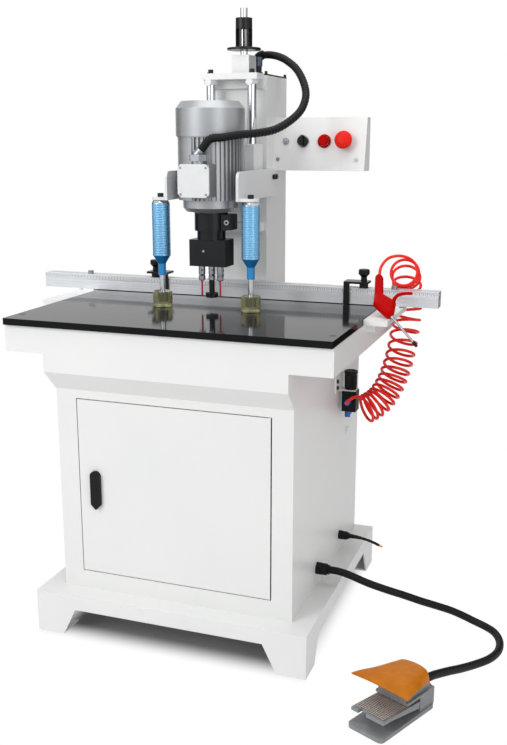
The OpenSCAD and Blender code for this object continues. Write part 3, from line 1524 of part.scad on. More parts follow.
module pedal_treadle() {
    inner = pedal_w - 2 * cheek_t - 2 * treadle_clear;
    wide_end = cheek_front - 2;
    color("darkgray") at_pedal() translate([0, pin_y, pin_z]) rotate([-treadle_tilt, 0, 0]) difference() {
        union() {
            block(0, -treadle_len, -treadle_t / 2, pedal_w, wide_end - pin_y + treadle_len, treadle_t);
            block(0, wide_end - pin_y - eps, -treadle_t / 2, inner, pin_y - wide_end + eps, treadle_t);
            along_x(-inner / 2, 0, 0) disc(treadle_pin_r + 4, inner);
            for (x = [-1, 1]) hull() {
                block(x * (pedal_w - cheek_t) / 2, skirt_from - pin_y, -treadle_t / 2, cheek_t, 1, 1);
                block(x * (pedal_w - cheek_t) / 2, wide_end - pin_y - 1, -treadle_t / 2 - skirt_h, cheek_t, 1,
                    skirt_h + 1);
            }
            for (y = [8 - treadle_len:rib_step:wide_end - pin_y - rib_w])
                block(0, y, treadle_t / 2 - eps, pedal_w - 8, rib_w, rib_h + eps);
        }
        along_x(-inner / 2 - eps, 0, 0) disc(treadle_pin_r + fit, inner + 2 * eps);
        block(-14, -treadle_len - eps, -treadle_t, 22, 14, 2 * treadle_t);
    }
}

module hood_form(t, open) {
    hull() {
        for (x = [-1, 1]) {
            translate([x * (hood_low_half - t), hood_front - open, hood_low_z]) cube(0.1);
            translate([x * (hood_high_half - t), hood_front - open, hood_high_z - t]) cube(0.1);
            translate([x * (hood_back_low_half - t), hood_back - t, valve_z + valve_h - hood_back_drop])
                cube(0.1);
            translate([x * (hood_back_high_half - t),
                hood_back - t, valve_z + valve_h + hood_back_rise - t]) cube(0.1);
        }
    }
}

module pedal_hood() {
    valve_top = valve_z + valve_h;
    color("darkorange") at_pedal() {
        difference() {
            hood_form(0, 0);
            translate([0, 0, -0.1]) hood_form(hood_t, 2);
            translate([0, 0, -20]) hood_form(hood_t + 1, 2);
            block(0, valve_front, valve_z, valve_w + 1, pedal_len, valve_h);
        }
        block(0, valve_front + 20, valve_top, 30, 50, 20);
    }
}

base_plinth();
cabinet_shell();
bed();
table_plate();
fence();
frame_bolts();
column();
column_cap();
guide_rods();
rod_holders();
feed_cylinder();
cable_glands();
air_fittings();
clamp_brackets();
clamp_cylinders();
control_box();
regulator_body();
regulator_bracket();
mains_stub();
pedal_hose();
pedal_base();
pedal_hood();
gun_body();
gun_nozzle();
curly_hose();
carriage();
motor_frame();
motor_cowl();
terminal_box();
terminal_cover();
conduit_gland();
head_clamp();
head_housing();
feed_rod();
conduit();
stop_disc();
stop_barrel();
motor_rotor();
centre_spindle();
centre_bit();
left_spindle();
left_drill();
right_spindle();
right_drill();
clamp_rod_left();
clamp_rod_right();
clamp_pad_left();
clamp_pad_right();
door();
door_handle();
stop_left();
stop_right();
stop_knob_left();
stop_knob_right();
selector_knob();
push_button();
estop_button();
regulator_knob();
pedal_treadle();
gun_lever();
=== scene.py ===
"""Looks of a hinge boring machine.

Painted stand, black table with a fence, column, boring head, air clamps, air service and pedal.
"""

import json
import math

import bmesh
import bpy
import numpy as np
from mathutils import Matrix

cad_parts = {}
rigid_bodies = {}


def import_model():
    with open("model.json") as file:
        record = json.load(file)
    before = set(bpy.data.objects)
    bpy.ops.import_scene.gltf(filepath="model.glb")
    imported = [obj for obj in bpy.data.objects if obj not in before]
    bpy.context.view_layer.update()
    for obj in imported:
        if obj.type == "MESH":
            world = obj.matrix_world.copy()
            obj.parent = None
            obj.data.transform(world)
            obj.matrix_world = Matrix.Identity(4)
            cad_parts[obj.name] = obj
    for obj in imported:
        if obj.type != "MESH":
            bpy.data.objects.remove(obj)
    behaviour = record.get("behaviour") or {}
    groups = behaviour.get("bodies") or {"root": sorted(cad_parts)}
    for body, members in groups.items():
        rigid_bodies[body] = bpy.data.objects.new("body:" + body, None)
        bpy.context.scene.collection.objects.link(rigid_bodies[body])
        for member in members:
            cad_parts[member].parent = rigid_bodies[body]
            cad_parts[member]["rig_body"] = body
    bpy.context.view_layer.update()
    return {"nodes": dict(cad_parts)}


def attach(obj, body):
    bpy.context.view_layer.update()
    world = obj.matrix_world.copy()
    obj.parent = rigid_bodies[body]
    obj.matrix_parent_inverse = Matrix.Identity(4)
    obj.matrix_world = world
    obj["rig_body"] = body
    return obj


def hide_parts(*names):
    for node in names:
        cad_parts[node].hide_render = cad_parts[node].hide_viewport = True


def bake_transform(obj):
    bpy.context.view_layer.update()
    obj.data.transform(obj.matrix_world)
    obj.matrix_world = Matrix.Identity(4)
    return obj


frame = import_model()
nodes = frame["nodes"]
MM = 0.001


# Camera, at the photograph's viewing angle, for an image of 507 x 745

camera = bpy.data.objects.new("camera", bpy.data.cameras.new("camera"))
camera.location = (0.9604, -2.3785, 1.2895)
camera.rotation_euler = (math.radians(90 - 13.7858), 0, math.radians(19.6594))
camera.data.sensor_fit = "VERTICAL"
camera.data.sensor_height = 36
camera.data.lens = 46.31
bpy.context.scene.collection.objects.link(camera)
bpy.context.scene.camera = camera


# Materials


def linear(hex_colour):
    """An sRGB hex colour as linear red, green, blue and alpha."""
    c = np.array([int(hex_colour[i:i + 2], 16) for i in (1, 3, 5)]) / 255
    return (*np.where(c <= 0.04045, c / 12.92, ((c + 0.055) / 1.055) ** 2.4), 1.0)


def add(tree, kind, settings=(), links=()):
    """Adds a node. Settings are its properties or its inputs' values; links are sockets for its inputs."""
    node = tree.nodes.new(kind)
    for key, value in dict(settings).items():
        if isinstance(key, str) and key not in node.inputs:
            setattr(node, key, value)
        else:
            node.inputs[key].default_value = value
    for key, socket in dict(links).items():
        tree.links.new(node.inputs[key], socket)
    return node


def finish(name, colour, second, roughness, spread=0.06, patch=60, grit=1.2, relief=0.02, stretch=(1, 1, 1),
           **sockets):
    """A finish whose colour drifts between two tones over patches, with a fine grit in its gloss and relief.

    Patch and grit are sizes in mm, relief is the height of the grit in mm, and stretch lengthens the grit
    into strokes along an axis. The other values are set on the shader's own sockets.
    """
    material = bpy.data.materials.new(name)
    material.use_nodes = True
    tree = material.node_tree
    shader = tree.nodes["Principled BSDF"]
    place = add(tree, "ShaderNodeTexCoord").outputs["Object"]
    drift = add(tree, "ShaderNodeTexNoise", {"Scale": 1 / (patch * MM), "Detail": 3.0}, {"Vector": place})
    strokes = add(tree, "ShaderNodeMapping", {"Scale": [1 / s for s in stretch]}, {"Vector": place})
    grain = add(tree, "ShaderNodeTexNoise", {"Scale": 1 / (grit * MM), "Detail": 2.0},
                {"Vector": strokes.outputs["Vector"]})
    tone = add(tree, "ShaderNodeMix", {"data_type": "RGBA", 6: linear(colour), 7: linear(second)},
               {0: drift.outputs["Fac"]})
    gloss = add(tree, "ShaderNodeMapRange", {"To Min": roughness - spread, "To Max": roughness + spread},
                {"Value": grain.outputs["Fac"]})
    bump = add(tree, "ShaderNodeBump", {"Strength": 1.0, "Distance": relief * MM},
               {"Height": grain.outputs["Fac"]})
    tree.links.new(shader.inputs["Base Color"], tone.outputs[2])
    tree.links.new(shader.inputs["Roughness"], gloss.outputs["Result"])
    tree.links.new(shader.inputs["Normal"], bump.outputs["Normal"])
    for key, value in sockets.items():
        shader.inputs[key.replace("_", " ")].default_value = value
    return material


# Powder coat over folded steel: even, satin, with a faint orange peel of 2.5 mm
white_paint = finish("white_powder_coat", "#EDEDEB", "#E5E6E5", 0.36, 0.05, 240, 2.5, 0.05)
# Hard black coat on a milled plate: dark, smooth enough for mirror images, with fine milling strokes
black_table = finish("black_table_coat", "#0B0C0E", "#121316", 0.09, 0.04, 90, 0.8, 0.003, (40, 1, 1),
                     Specular_IOR_Level=0.11)
# Anodised extrusion: pale metal with die lines along its length
fence_metal = finish("anodised_aluminium", "#D9DBDE", "#CBCED2", 0.36, 0.08, 45, 0.9, 0.01, (80, 1, 1),
                     Metallic=0.55)
# Black oxide on steel bolts: near black with a dull metal shine
black_oxide = finish("black_oxide_steel", "#131416", "#1E1F22", 0.4, 0.08, 6, 0.6, 0.01, Metallic=0.5)
# Zinc plated steel: grey, a little mottled
zinc_steel = finish("zinc_plated_steel", "#9DA0A4", "#7F8287", 0.33, 0.08, 6, 0.6, 0.01, Metallic=1.0)
# Black enamel on machined metal: satin with soft highlights
black_metal = finish("black_enamel", "#0A0B0D", "#121316", 0.3, 0.08, 40, 1.6, 0.03, Specular_IOR_Level=0.25)
# Light grey paint on machined blocks
light_metal = finish("light_grey_paint", "#EEEFEF", "#E3E5E6", 0.38, 0.06, 120, 2.0, 0.04)
# Hard chrome on ground rods: mirror bright with faint grinding rings round the rod
chrome = finish("hard_chrome", "#C6C9CD", "#B0B3B7", 0.12, 0.05, 30, 0.9, 0.003, (30, 30, 1), Metallic=1.0)
# Moulded black nylon: dark, with a spark-eroded grain
black_plastic = finish("black_nylon", "#090A0B", "#101113", 0.45, 0.08, 25, 0.9, 0.03, Specular_IOR_Level=0.2)
# Moulded light grey nylon
grey_plastic = finish("grey_nylon", "#E4E6E6", "#D8DADB", 0.46, 0.07, 25, 0.9, 0.03)
# Glossy blue acetal of push-in fittings
blue_fitting = finish("blue_acetal", "#2F66C2", "#2656A8", 0.26, 0.05, 12, 0.8, 0.01)
# The same acetal in navy, for the fitting on the cap
navy_fitting = finish("navy_acetal", "#1C2C52", "#16223F", 0.26, 0.05, 12, 0.8, 0.01)
# Black rubber hose: dull, with a fine cloth-pressed grain
black_rubber = finish("black_hose_rubber", "#0A0B0B", "#121314", 0.5, 0.08, 30, 1.2, 0.03,
                      Specular_IOR_Level=0.18)
# Rough grey casting of the pedal
grey_casting = finish("grey_cast_aluminium", "#939596", "#7C7F81", 0.55, 0.1, 12, 1.4, 0.08, Metallic=0.2)
# Treadle casting on the tops of its ribs, a little warm, painted paler as a painted highlight
rib_top_highlight_casting = finish("rib_top_highlight_aluminium", "#CFC3BB", "#B0A69F", 0.5, 0.1, 9, 1.2, 0.08, Metallic=0.25)
# The same casting between the treadle's ribs, painted darker as painted shade
rib_gap_shade_casting = finish("rib_gap_shade_aluminium", "#4E4A48", "#3E3B39", 0.6, 0.1, 9, 1.2, 0.08, Metallic=0.1)
# Amber orange moulded guard: satin with soft flow marks
orange_plastic = finish("orange_polypropylene", "#D2800E", "#B25C04", 0.36, 0.06, 22, 1.4, 0.02,
                        Specular_IOR_Level=0.14)
# Deep red moulding of the gun and the push button, with little shine
red_plastic = finish("red_gloss_moulding", "#C20707", "#A60505", 0.36, 0.05, 18, 1.2, 0.01,
                     Specular_IOR_Level=0.03)
# Brighter red nylon of the emergency stop
stop_red = finish("red_nylon", "#F2271C", "#E41F16", 0.34, 0.06, 20, 1.0, 0.02, Specular_IOR_Level=0.12)
# Red urethane tube: clear enough that light goes a little way in
red_hose = finish("red_urethane_tube", "#FA2A1C", "#EC1D10", 0.28, 0.06, 25, 1.5, 0.01, Subsurface_Weight=0.2,
                  Subsurface_Scale=0.002, Specular_IOR_Level=0.25)
# Silver paint on cast aluminium: bright, with fine flakes
motor_metal = finish("silver_paint", "#A8AAAC", "#96999C", 0.42, 0.08, 60, 0.9, 0.02, Metallic=0.7)
# Blackened tool steel
dark_steel = finish("blackened_tool_steel", "#17181A", "#242528", 0.32, 0.08, 12, 0.7, 0.01, Metallic=0.7)
# Ground steel of the chucks
chuck_steel = finish("ground_steel", "#9A9DA1", "#7C7F84", 0.2, 0.08, 10, 0.7, 0.006, (20, 20, 1),
                     Metallic=1.0)
# Red lacquer on drill shanks
red_drill = finish("red_lacquered_steel", "#C0392E", "#A02C22", 0.35, 0.08, 8, 0.8, 0.01, Metallic=0.3)
# Cast urethane pads: yellow-green, light passes in and scatters
pad_urethane = finish("amber_urethane", "#CBC99A", "#B5B382", 0.16, 0.06, 14, 1.5, 0.01,
                      Transmission_Weight=0.8,
                      IOR=1.45)
# Pale blue polyurethane sleeve over a bright tube, whose metal shine comes through
blue_sleeve = finish("blue_sleeve_urethane", "#83BADD", "#70ABD5", 0.28, 0.05, 60, 1.5, 0.01, Metallic=0.65)
# The same urethane where it is thicker, in the cone under the sleeve
blue_cone = finish("blue_cone_urethane", "#2A93D6", "#2082C2", 0.22, 0.05, 60, 1.5, 0.01, Metallic=0.3)
# Bare copper strands of a cut lead
copper = finish("bare_copper", "#C07A4E", "#A8653C", 0.3, 0.08, 3, 0.4, 0.01, (1, 1, 12), Metallic=1.0)

# Printed rule along the fence: pale tape with a dark tick every 5 mm, and a longer one every 10 mm
rule_tape = finish("printed_rule_tape", "#D8DADC", "#CFD1D4", 0.4, 0.05, 60, 0.8, 0.005)
tape = rule_tape.node_tree
on_tape = add(tape, "ShaderNodeTexCoord").outputs["Object"]
where = add(tape, "ShaderNodeSeparateXYZ", links={0: on_tape}).outputs
TICK_WIDTH = 1.1
ticks = []
for step, low in ((5, 887), (10, 884)):
    count = add(tape, "ShaderNodeMath", {"operation": "DIVIDE", 1: step * MM}, {0: where["X"]}).outputs[0]
    part = add(tape, "ShaderNodeMath", {"operation": "FRACT"}, {0: count}).outputs[0]
    line = add(tape, "ShaderNodeMath", {"operation": "LESS_THAN", 1: TICK_WIDTH / step}, {0: part}).outputs[0]
    high = add(tape, "ShaderNodeMath", {"operation": "GREATER_THAN", 1: low * MM}, {0: where["Z"]}).outputs[0]
    ticks.append(add(tape, "ShaderNodeMath", {"operation": "MULTIPLY"}, {0: line, 1: high}).outputs[0])
marks = add(tape, "ShaderNodeMath", {"operation": "MAXIMUM"}, {0: ticks[0], 1: ticks[1]}).outputs[0]
paper = tape.nodes["Principled BSDF"].inputs["Base Color"]
printed = add(tape, "ShaderNodeMix", {"data_type": "RGBA", 7: linear("#303236")},
              {0: marks, 6: paper.links[0].from_socket})
tape.links.new(paper, printed.outputs[2])

FINISHES = {"white_paint": white_paint, "black_table": black_table, "fence_aluminium": fence_metal,
            "steel_bolts": black_oxide, "black_metal": black_metal, "light_metal": light_metal,
            "chrome": chrome, "black_plastic": black_plastic, "grey_plastic": grey_plastic,
            "blue_fitting": blue_fitting,
            "blue_sleeve": blue_sleeve, "black_rubber": black_rubber, "grey_casting": grey_casting,
            "orange_plastic": orange_plastic, "red_plastic": red_plastic, "red_hose": red_hose,
            "motor_aluminium": motor_metal, "dark_steel": dark_steel, "red_drill": red_drill,
            "pad_urethane": pad_urethane}


# Shapes


def curve(points, u):
    """The cubic through points b and c at u. Its slope at each is half the step between its two neighbours."""
    p = np.asarray(points, float)
    i = np.minimum(np.floor(u).astype(int), len(p) - 2)
    t = (u - i)[:, None]
    a, b, c, d = (p[np.clip(i + k, 0, len(p) - 1)] for k in (-1, 0, 1, 2))
    return b + 0.5 * t * (c - a + t * (2 * a - 5 * b + 4 * c - d + t * (3 * (b - c) + d - a)))


def unit(v):
    return v / np.linalg.norm(v, axis=-1, keepdims=True)


def sideways(path):
    """For each point of a path, its heading and two directions across it that turn as little as possible."""
    heading = unit(np.gradient(path, axis=0))
    across = np.empty_like(path)
    start = (0, 0, 1) if abs(heading[0, 2]) < 0.9 else (1, 0, 0)
    last = unit(np.cross(heading[0], start))
    for i, h in enumerate(heading):
        last = unit(last - h * (last @ h))
        across[i] = last
    return heading, across, np.cross(heading, across)


def tube(path, radius, sides=16):
    """A circle carried along a path: path point + radius (across cos a + other sin a)."""
    _, x, y = sideways(path)
    a = np.linspace(0, 2 * np.pi, sides, endpoint=False)[:, None]
    r = np.broadcast_to(np.asarray(radius, float), len(path))[:, None, None]
    return path[:, None] + r * (x[:, None] * np.cos(a) + y[:, None] * np.sin(a))


def turned(profile, centre, axis=(0, 0, 1), sides=48):
    """A profile of (radius, height) turned about an axis: centre + radius (u cos a + v sin a) + height axis."""
    r, h = np.asarray(profile, float).T[:, :, None, None] * MM
    w = unit(np.asarray(axis, float))
    u = unit(np.cross(w, (0, 0, 1) if abs(w[2]) < 0.9 else (1, 0, 0)))
    v = np.cross(w, u)
    a = np.linspace(0, 2 * np.pi, sides, endpoint=False)[None, :, None]
    return np.asarray(centre, float) * MM + r * (u * np.cos(a) + v * np.sin(a)) + h * w


def round_box(width, height, radius, steps=6):
    """Outline of a rectangle whose corners are quarter circles."""
    a = np.linspace(0, np.pi / 2, steps)
    arc = radius * np.stack([np.cos(a), np.sin(a)], 1)
    x, y = width / 2 - radius, height / 2 - radius
    corners = ((1, 1), (-1, 1), (-1, -1), (1, -1))
    return np.vstack([(arc if sx == sy else arc[::-1]) * (sx, sy) + (sx * x, sy * y) for sx, sy in corners])


def raised(outline, levels, origin, x_axis, y_axis):
    """An outline lifted through levels of (height, inset): each point moves in along its normal by an inset."""
    flat = np.asarray(outline, float)
    x, y = unit(np.asarray(x_axis, float)), unit(np.asarray(y_axis, float))
    step = np.roll(flat, -1, 0) - np.roll(flat, 1, 0)
    inward = unit(np.stack([-step[:, 1], step[:, 0]], 1))
    h, inset = np.asarray(levels, float).T[:, :, None, None]
    ring = flat + inset * inward
    return (np.asarray(origin, float) + ring[..., :1] * x + ring[..., 1:] * y + h * np.cross(x, y)) * MM


def piece(name, grids, body, slot, replaces=(), material=None, angle=38):
    """Makes one object of closed grids: columns run round and join. The first and last rows are capped,
    unless they are the same."""
    points, faces, start = [], [], 0
    for grid in grids:
        rows, cols = grid.shape[:2]
        index = start + np.arange(rows * cols).reshape(rows, cols)
        after = np.roll(index, -1, 1)
        faces += np.stack([index[:-1], after[:-1], after[1:], index[1:]], -1).reshape(-1, 4).tolist()
        if not np.allclose(grid[0], grid[-1]):
            faces += [index[0].tolist(), index[-1].tolist()]
        points.append(grid.reshape(-1, 3))
        start += rows * cols
    mesh = bpy.data.meshes.new(name)
    mesh.from_pydata(np.vstack(points), [], faces)
    return dress(name, mesh, body, slot, replaces, material, angle)


def dress(name, mesh, body, slot, replaces=(), material=None, angle=38):
    """Merges a mesh, turns its faces outwards, shades it and puts it on its body, if it has only one."""
    work = bmesh.new()
    work.from_mesh(mesh)
    bmesh.ops.remove_doubles(work, verts=work.verts, dist=1e-6)
    bmesh.ops.recalc_face_normals(work, faces=work.faces)
    work.to_mesh(mesh)
    work.free()
    mesh.shade_smooth()
    mesh.set_sharp_from_angle(angle=math.radians(angle))
    mesh.materials.clear()
    mesh.materials.append(material or FINISHES[slot])
    made = bpy.data.objects.new(name, mesh)
    bpy.context.scene.collection.objects.link(made)
    if body:
        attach(made, body)
    if replaces:
        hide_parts(*replaces)
    return made


def rounded(node, width, slot, segments=2, material=None):
    """A copy of a solid, its triangles merged into flat faces and its sharp edges rounded by width, in mm."""
    mesh = nodes[node].data.copy()
    mesh.name = node + ".rounded"
    work = bmesh.new()
    work.from_mesh(mesh)
    bmesh.ops.remove_doubles(work, verts=work.verts, dist=1e-6)
    bmesh.ops.dissolve_limit(work, angle_limit=math.radians(0.5), verts=work.verts, edges=work.edges)
    work.to_mesh(mesh)
    work.free()
    mesh.shade_smooth()
    mesh.set_sharp_from_angle(angle=math.radians(30))
    mesh.materials.clear()
    mesh.materials.append(material or FINISHES[slot])
    made = bpy.data.objects.new(node + ".rounded", mesh)
    bpy.context.scene.collection.objects.link(made)
    bevel = made.modifiers.new("round", "BEVEL")
    bevel.width = width * MM
    bevel.segments = segments
    bevel.limit_method = "ANGLE"
    bevel.angle_limit = math.radians(30)
    bevel.use_clamp_overlap = True
    flat = made.modifiers.new("flat_faces", "WEIGHTED_NORMAL")
    flat.weight, flat.keep_sharp = 80, True
    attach(made, nodes[node]["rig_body"])
    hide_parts(node)
    return made


def zone(made, material, test):
    """Gives another finish to the faces whose middle passes a test of x, y and z in mm."""
    mesh = made.data
    middle = np.empty(3 * len(mesh.polygons))
    mesh.polygons.foreach_get("center", middle)
    index = np.empty(len(mesh.polygons), np.int32)
    mesh.polygons.foreach_get("material_index", index)
    index[test(*(middle.reshape(-1, 3).T / MM))] = len(mesh.materials)
    mesh.materials.append(material)
    mesh.polygons.foreach_set("material_index", index)


# Cords

CONDUIT = np.array([
    [35.6, 295, 1514], [56, 295, 1514], [87, 279, 1507], [120, 250, 1493], [156, 220, 1469],
    [186, 187, 1433], [204, 150, 1396], [204, 108, 1359], [189, 60, 1330.5], [166.5, 6, 1309],
    [140, -50, 1300], [109, -94, 1296],
    [77, -120, 1290], [43.5, -129, 1285.2], [21.8, -129, 1261.1]]) * MM
RIBS, STEPS = 72, 8
u = np.linspace(0, len(CONDUIT) - 1, STEPS * RIBS + 1)
conduit_path = curve(CONDUIT, u)
rib_wave = 0.5 - 0.5 * np.cos(np.linspace(0, 2 * np.pi * RIBS, STEPS * RIBS + 1))
conduit_radius = (9.2 + 1.3 * rib_wave ** 0.6) * MM
conduit = piece("conduit_ribbed", [tube(conduit_path, conduit_radius)], None, "black_rubber", ["conduit"])
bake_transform(conduit)

PEDAL = np.array([560, -532, 0.0])
TURN = math.radians(-25)
TREADLE_PIN_Y, TREADLE_PIN_Z = 188, 30
TREADLE_TILT = math.atan2(14, 178)


def on_pedal(x, y, z):
    """Points of the pedal, which stands turned on the floor, in mm."""
    c, s = math.cos(TURN), math.sin(TURN)
    return PEDAL + np.stack([x * c - y * s, x * s + y * c, z], -1)


def along_pedal(x, y, z):
    """Distance behind the front of the pedal, in mm."""
    return (y - PEDAL[1]) * math.cos(TURN) - (x - PEDAL[0]) * math.sin(TURN)


def above_treadle(x, y, z):
    """Height over the middle of the treadle plate, which tilts about its pin, in mm."""
    ahead = TREADLE_PIN_Y - along_pedal(x, y, z)
    return (z - TREADLE_PIN_Z) * math.cos(TREADLE_TILT) - ahead * math.sin(TREADLE_TILT)


HOSE = np.array([
    [356.4, -80, 164], [378, -80, 164], [410, -80, 158], [460, -78, 142], [512, -65, 124], [552, -46, 107],
    [590, -25, 88], [628, 1, 68], [666, 26, 48], [698, 42, 30], [728, 46, 17], [758, 38, 11], [782, 18, 10.6],
    [798, -10, 10.6], [806, -43, 10.6], [806, -78, 11], [799, -110, 13], [786, -142, 16], [768, -172, 19.5],
    [748, -204, 25], [728, -240, 34], [708, -276, 44.5],
    on_pedal(22, 250, 54), on_pedal(22, 229, 59), on_pedal(22, 205, 62), on_pedal(22, 180, 62)]) * MM
hose_path = curve(HOSE, np.linspace(0, len(HOSE) - 1, 101))
hose = piece("pedal_hose_smooth", [tube(hose_path, 10 * MM, 20)], "frame", "black_rubber", ["pedal_hose"])

MAINS = np.array([
    [350.4, 155, 165], [362, 155, 165], [380, 157, 163], [400, 161, 158], [420, 166, 150],
    [436, 170, 142]]) * MM
mains_path = curve(MAINS, np.linspace(0, len(MAINS) - 1, 26))
mains = piece("mains_stub_sheath", [tube(mains_path, 4 * MM, 14)], "frame", "black_rubber", ["mains_stub"])

LEAD = np.array([[350, 91.6, 582], [350.9, 79.6, 583.6], [353.7, 70.3, 587.7], [363.8, 57.8, 600],
                 [378.9, 50.3, 611.6], [397.9, 44, 615.4]])
AXIS = np.array([
    [408, 60, 579], [424, 74, 587], [442, 92, 602], [460, 118, 634], [472, 146, 676], [478, 178, 722],
    [480, 208, 772], [480, 226, 820], [479, 232, 866], [478, 218, 908], [478, 192, 932], [478, 160, 942]])
CURLS = [0, 1.8, 3.7, 6.1, 8.5, 10.6, 12.4, 14, 15.5, 17, 18.4, 20]
# The tail runs on a little way inside the gun's grip
TAIL = np.array([[476.5, 172.5, 980], [454.6, 163.8, 980.9], [437, 148.7, 974.2], [427, 118, 956],
                 [431.5, 79.7, 933], [436.3, 58.6, 920.5]])
# Curls round a bent axis: axis point + 37 mm (across cos a + other sin a), with a lead and a tail joined on
CURL_COUNT, CURL_STEPS, CURL_RADIUS = 19.5, 468, 37
turns = np.linspace(0, CURL_COUNT, CURL_STEPS + 1)
axis = curve(AXIS, np.interp(turns, CURLS, np.arange(len(AXIS))))
_, across, other = sideways(axis)
angle = (2 * np.pi * turns - np.pi / 2)[:, None]
curls = (axis + CURL_RADIUS * (across * np.cos(angle) + other * np.sin(angle)))[3:]
eighths = curls[::3]
lead_knots = np.vstack([LEAD, eighths[:3]])
tail_knots = np.vstack([eighths[-3:], TAIL])
curl_path = np.vstack([
    curve(lead_knots, np.linspace(0, len(LEAD), 48, endpoint=False)), curls,
    curve(tail_knots, np.linspace(2, len(tail_knots) - 1, 50)[1:])]) * MM
curly = piece("curly_hose_tube", [tube(curl_path, 4 * MM, 10)], "frame", "red_hose", ["curly_hose"])
gun = rounded("gun_body", 0.2, "red_plastic")
gun.modifiers.clear()
melt = gun.modifiers.new("one_skin", "REMESH")
melt.mode, melt.voxel_size, melt.use_smooth_shade = "VOXEL", 1.2 * MM, True
ease = gun.modifiers.new("soft_edges", "SMOOTH")
ease.iterations = 8

# Lever of the gun: a round bar in an easy curve, thick at its pivot
LEVER = np.array([[488, -4, 886], [490, -4, 893], [497, -2.5, 902], [509, 0.5, 906.5], [522, 3, 908],
                  [534, 5, 908]]) * MM
u = np.linspace(0, len(LEVER) - 1, 41)
lever_radius = np.interp(u, [0, 1, 4.8, 5], [5, 5, 3.9, 2.2]) * MM
lever = piece("gun_lever_curved", [tube(curve(LEVER, u), lever_radius, 14)], "lever", "red_plastic",
              ["gun_lever"])


# Solids with their edges rounded

SOFTENED = (
    ("base_plinth", 2.5, "white_paint", 3),
    ("cabinet_shell", 1.5, "white_paint", 2),
    ("door", 1.2, "white_paint", 2),
    ("bed", 2.0, "white_paint", 3),
    ("table_plate", 1.0, "black_table", 2),
    ("fence", 0.5, "fence_aluminium", 2),
    ("column", 2.0, "white_paint", 3),
    ("column_cap", 0.8, "black_metal", 2),
    ("rod_holders", 1.2, "light_metal", 2),
    ("feed_cylinder", 1.5, "white_paint", 2),
    ("clamp_brackets", 1.0, "light_metal", 2),
    ("control_box", 1.5, "white_paint", 3),
    ("regulator_body", 2.0, "black_plastic", 2),
    ("regulator_bracket", 0.8, "light_metal", 2),
    ("carriage", 1.0, "light_metal", 2),
    ("terminal_box", 1.5, "motor_aluminium", 2),
    ("terminal_cover", 1.0, "grey_plastic", 2),
    ("head_clamp", 1.2, "black_metal", 2),
    ("head_housing", 2.0, "black_metal", 3),
    ("door_handle", 1.5, "black_plastic", 3),
    ("stop_left", 0.8, "black_metal", 2),
    ("stop_right", 0.8, "black_metal", 2))
for node, width, slot, segments in SOFTENED:
    rounded(node, width, slot, segments)

pedal = rounded("pedal_base", 1.2, "grey_casting")
corners = np.empty(3 * len(pedal.data.vertices))
pedal.data.vertices.foreach_get("co", corners)
corners = corners.reshape(-1, 3)
# The valve block ends under the hood, where its hose goes in: its end, behind 190 and over 53 mm, moves forward
BLOCK_CUT = 28 * MM
block_end = (along_pedal(*corners.T / MM) > 190) & (corners[:, 2] > 53 * MM)
corners[block_end] -= BLOCK_CUT * np.array([-math.sin(TURN), math.cos(TURN), 0])
pedal.data.vertices.foreach_set("co", corners.ravel())
treadle = rounded("pedal_treadle", 0.6, "grey_casting")
# Painted highlight on the tops of the treadle's ribs, and painted shade in the gaps between them
zone(treadle, rib_top_highlight_casting, lambda x, y, z: above_treadle(x, y, z) > 5.2)
zone(treadle, rib_gap_shade_casting, lambda x, y, z: np.abs(above_treadle(x, y, z) - 4.75) < 0.5)
rounded("stop_disc", 1.2, "black_metal")
rounded("stop_barrel", 1.0, "black_metal")
rounded("cable_glands", 0.8, "black_plastic")
rounded("conduit_gland", 0.8, "light_metal", material=zinc_steel)
rounded("selector_knob", 1.0, "black_plastic")
rounded("push_button", 1.5, "red_plastic", 3)
rounded("regulator_knob", 1.5, "black_plastic", 3)
sleeves = rounded("clamp_cylinders", 0.3, "blue_sleeve")
zone(sleeves, chrome, lambda x, y, z: z > 1121)
zone(sleeves, blue_cone, lambda x, y, z: z < 984.9)
fittings = rounded("air_fittings", 0.6, "blue_fitting")
zone(fittings, black_plastic, lambda x, y, z: (z > 1400) & (z < 1476.5))
zone(fittings, navy_fitting, lambda x, y, z: z > 1476.5)
rounded("motor_cowl", 0.8, "motor_aluminium")
bolts = rounded("frame_bolts", 0.5, "steel_bolts")
zone(bolts, zinc_steel, lambda x, y, z: ((np.abs(x) > 440) & (z > 840) & (z < 960)) | ((x > 90) & (z > 1200)))

SLOTS = {"guide_rods": "chrome", "feed_rod": "chrome", "motor_frame": "motor_aluminium",
         "motor_rotor": "dark_steel", "centre_spindle": "dark_steel",
         "centre_bit": "dark_steel", "left_spindle": "dark_steel", "right_spindle": "dark_steel",
         "left_drill": "red_drill", "right_drill": "red_drill", "clamp_rod_left": "chrome",
         "clamp_rod_right": "chrome", "clamp_pad_left": "pad_urethane", "clamp_pad_right": "pad_urethane",
         "stop_knob_left": "black_plastic", "stop_knob_right": "black_plastic", "estop_button": "red_plastic",
         "gun_nozzle": "steel_bolts"}
OWN = {"left_spindle": chuck_steel, "right_spindle": chuck_steel, "centre_spindle": chuck_steel,
       "estop_button": stop_red, "gun_nozzle": zinc_steel}
for node, slot in SLOTS.items():
    nodes[node].data.materials.clear()
    nodes[node].data.materials.append(OWN.get(node, FINISHES[slot]))


# Pieces that the solids leave out

